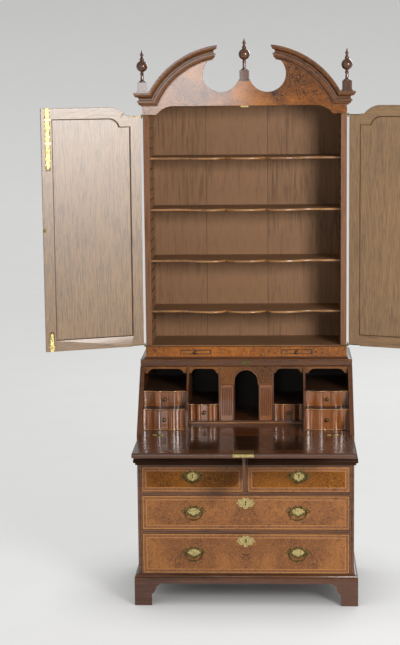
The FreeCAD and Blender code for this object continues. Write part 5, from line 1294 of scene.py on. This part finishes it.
def set_backdrop():
    """A floor of paper that curves up into a wall far behind."""
    wide, wall, curve, top, steps = 60.0, 22.0, 6.0, 16.0, 12
    profile = [(-wide, 0.0)]
    for step in range(steps + 1):
        angle = QUARTER * step / steps
        profile.append((wall + curve * math.sin(angle), curve - curve * math.cos(angle)))
    profile.append((wall + curve, top))
    build = bmesh.new()
    rows = [[build.verts.new((x, y, z)) for x in (-wide, wide)] for y, z in profile]
    for one, two in zip(rows, rows[1:]):
        build.faces.new((one[0], one[1], two[1], two[0]))
    mesh = made_mesh(build, [finish_of("paper")])
    mesh.shade_smooth()
    linked("backdrop", mesh)


def set_lights(scene):
    """Soft lamps, and a world that is paler to the eye than as a light."""
    for name, (place, aim, size, watts) in LAMPS.items():
        light = bpy.data.lights.new(name, "AREA")
        light.shape = "RECTANGLE"
        light.size, light.size_y = size
        light.energy = watts
        item = linked(name, light)
        item.location = place
        item.rotation_euler = (Vector(aim) - Vector(place)).to_track_quat("-Z", "Y").to_euler()
    scene.world = bpy.data.worlds.new("studio")
    scene.world.use_nodes = True
    tree = scene.world.node_tree
    sky = tree.nodes["Background"]
    sky.inputs["Color"].default_value = (1.0, 0.98, 0.95, 1)
    tree.links.new(spread(tree, seen_rays(tree), start=0.14, stop=0.5), sky.inputs["Strength"])


def set_camera(scene):
    """The camera at the photograph's place and angle."""
    stage = chosen("stage")
    data = bpy.data.cameras.new("camera")
    data.lens = stage.lens
    place = Matrix.Translation(stage.place)
    for angle, axis in ((-stage.yaw, "Z"), (QUARTER - stage.pitch, "X"), (-stage.roll, "Z")):
        place @= Matrix.Rotation(angle, 4, axis)
    scene.camera = linked("camera", data)
    scene.camera.matrix_world = place


class EscritoireStudio(bpy.types.Operator):
    """Set the floor, the backdrop, the soft lights and the camera"""
    bl_idname = "escritoire.studio"
    bl_label = "Studio"

    def execute(self, context):
        context.scene.view_settings.view_transform = "Standard"
        set_backdrop()
        set_lights(context.scene)
        set_camera(context.scene)
        return {"FINISHED"}


OPERATORS = (
    EscritoireStudio, EscritoireTimberFinish, EscritoireMetalFinish, EscritoireDrawerVeneers,
    EscritoireRailBeads, EscritoireDrawerBrass, EscritoireBails, EscritoireKnobs, EscritoireShelfNoses,
    EscritoireInnerBeads, EscritoireFlutes, EscritoireSlideBeads, EscritoireFallFaces,
    EscritoireDoorMouldings, EscritoireDoorBolts, EscritoireScrews,
)
GROUPS = {
    "escritoire_colours": EscritoireColours, "escritoire_sizes": EscritoireSizes,
    "escritoire_stage": EscritoireStage,
}


class EscritoirePanel(bpy.types.Panel):
    """Lists the steps that dress the escritoire"""
    bl_idname = "VIEW3D_PT_escritoire"
    bl_label = "Escritoire"
    bl_space_type = "VIEW_3D"
    bl_region_type = "UI"
    bl_category = "Escritoire"

    def draw(self, context):
        for operator in OPERATORS:
            self.layout.operator(operator.bl_idname)


CLASSES = (*GROUPS.values(), *OPERATORS, EscritoirePanel)


def register():
    for kind in CLASSES:
        bpy.utils.register_class(kind)
    for name, group in GROUPS.items():
        setattr(bpy.types.Scene, name, bpy.props.PointerProperty(type=group))


def unregister():
    for name in GROUPS:
        delattr(bpy.types.Scene, name)
    for kind in reversed(CLASSES):
        bpy.utils.unregister_class(kind)


def main():
    register()
    for operator in OPERATORS:
        group, action = operator.bl_idname.split(".")
        getattr(getattr(bpy.ops, group), action)()


if __name__ == "__main__":
    main()
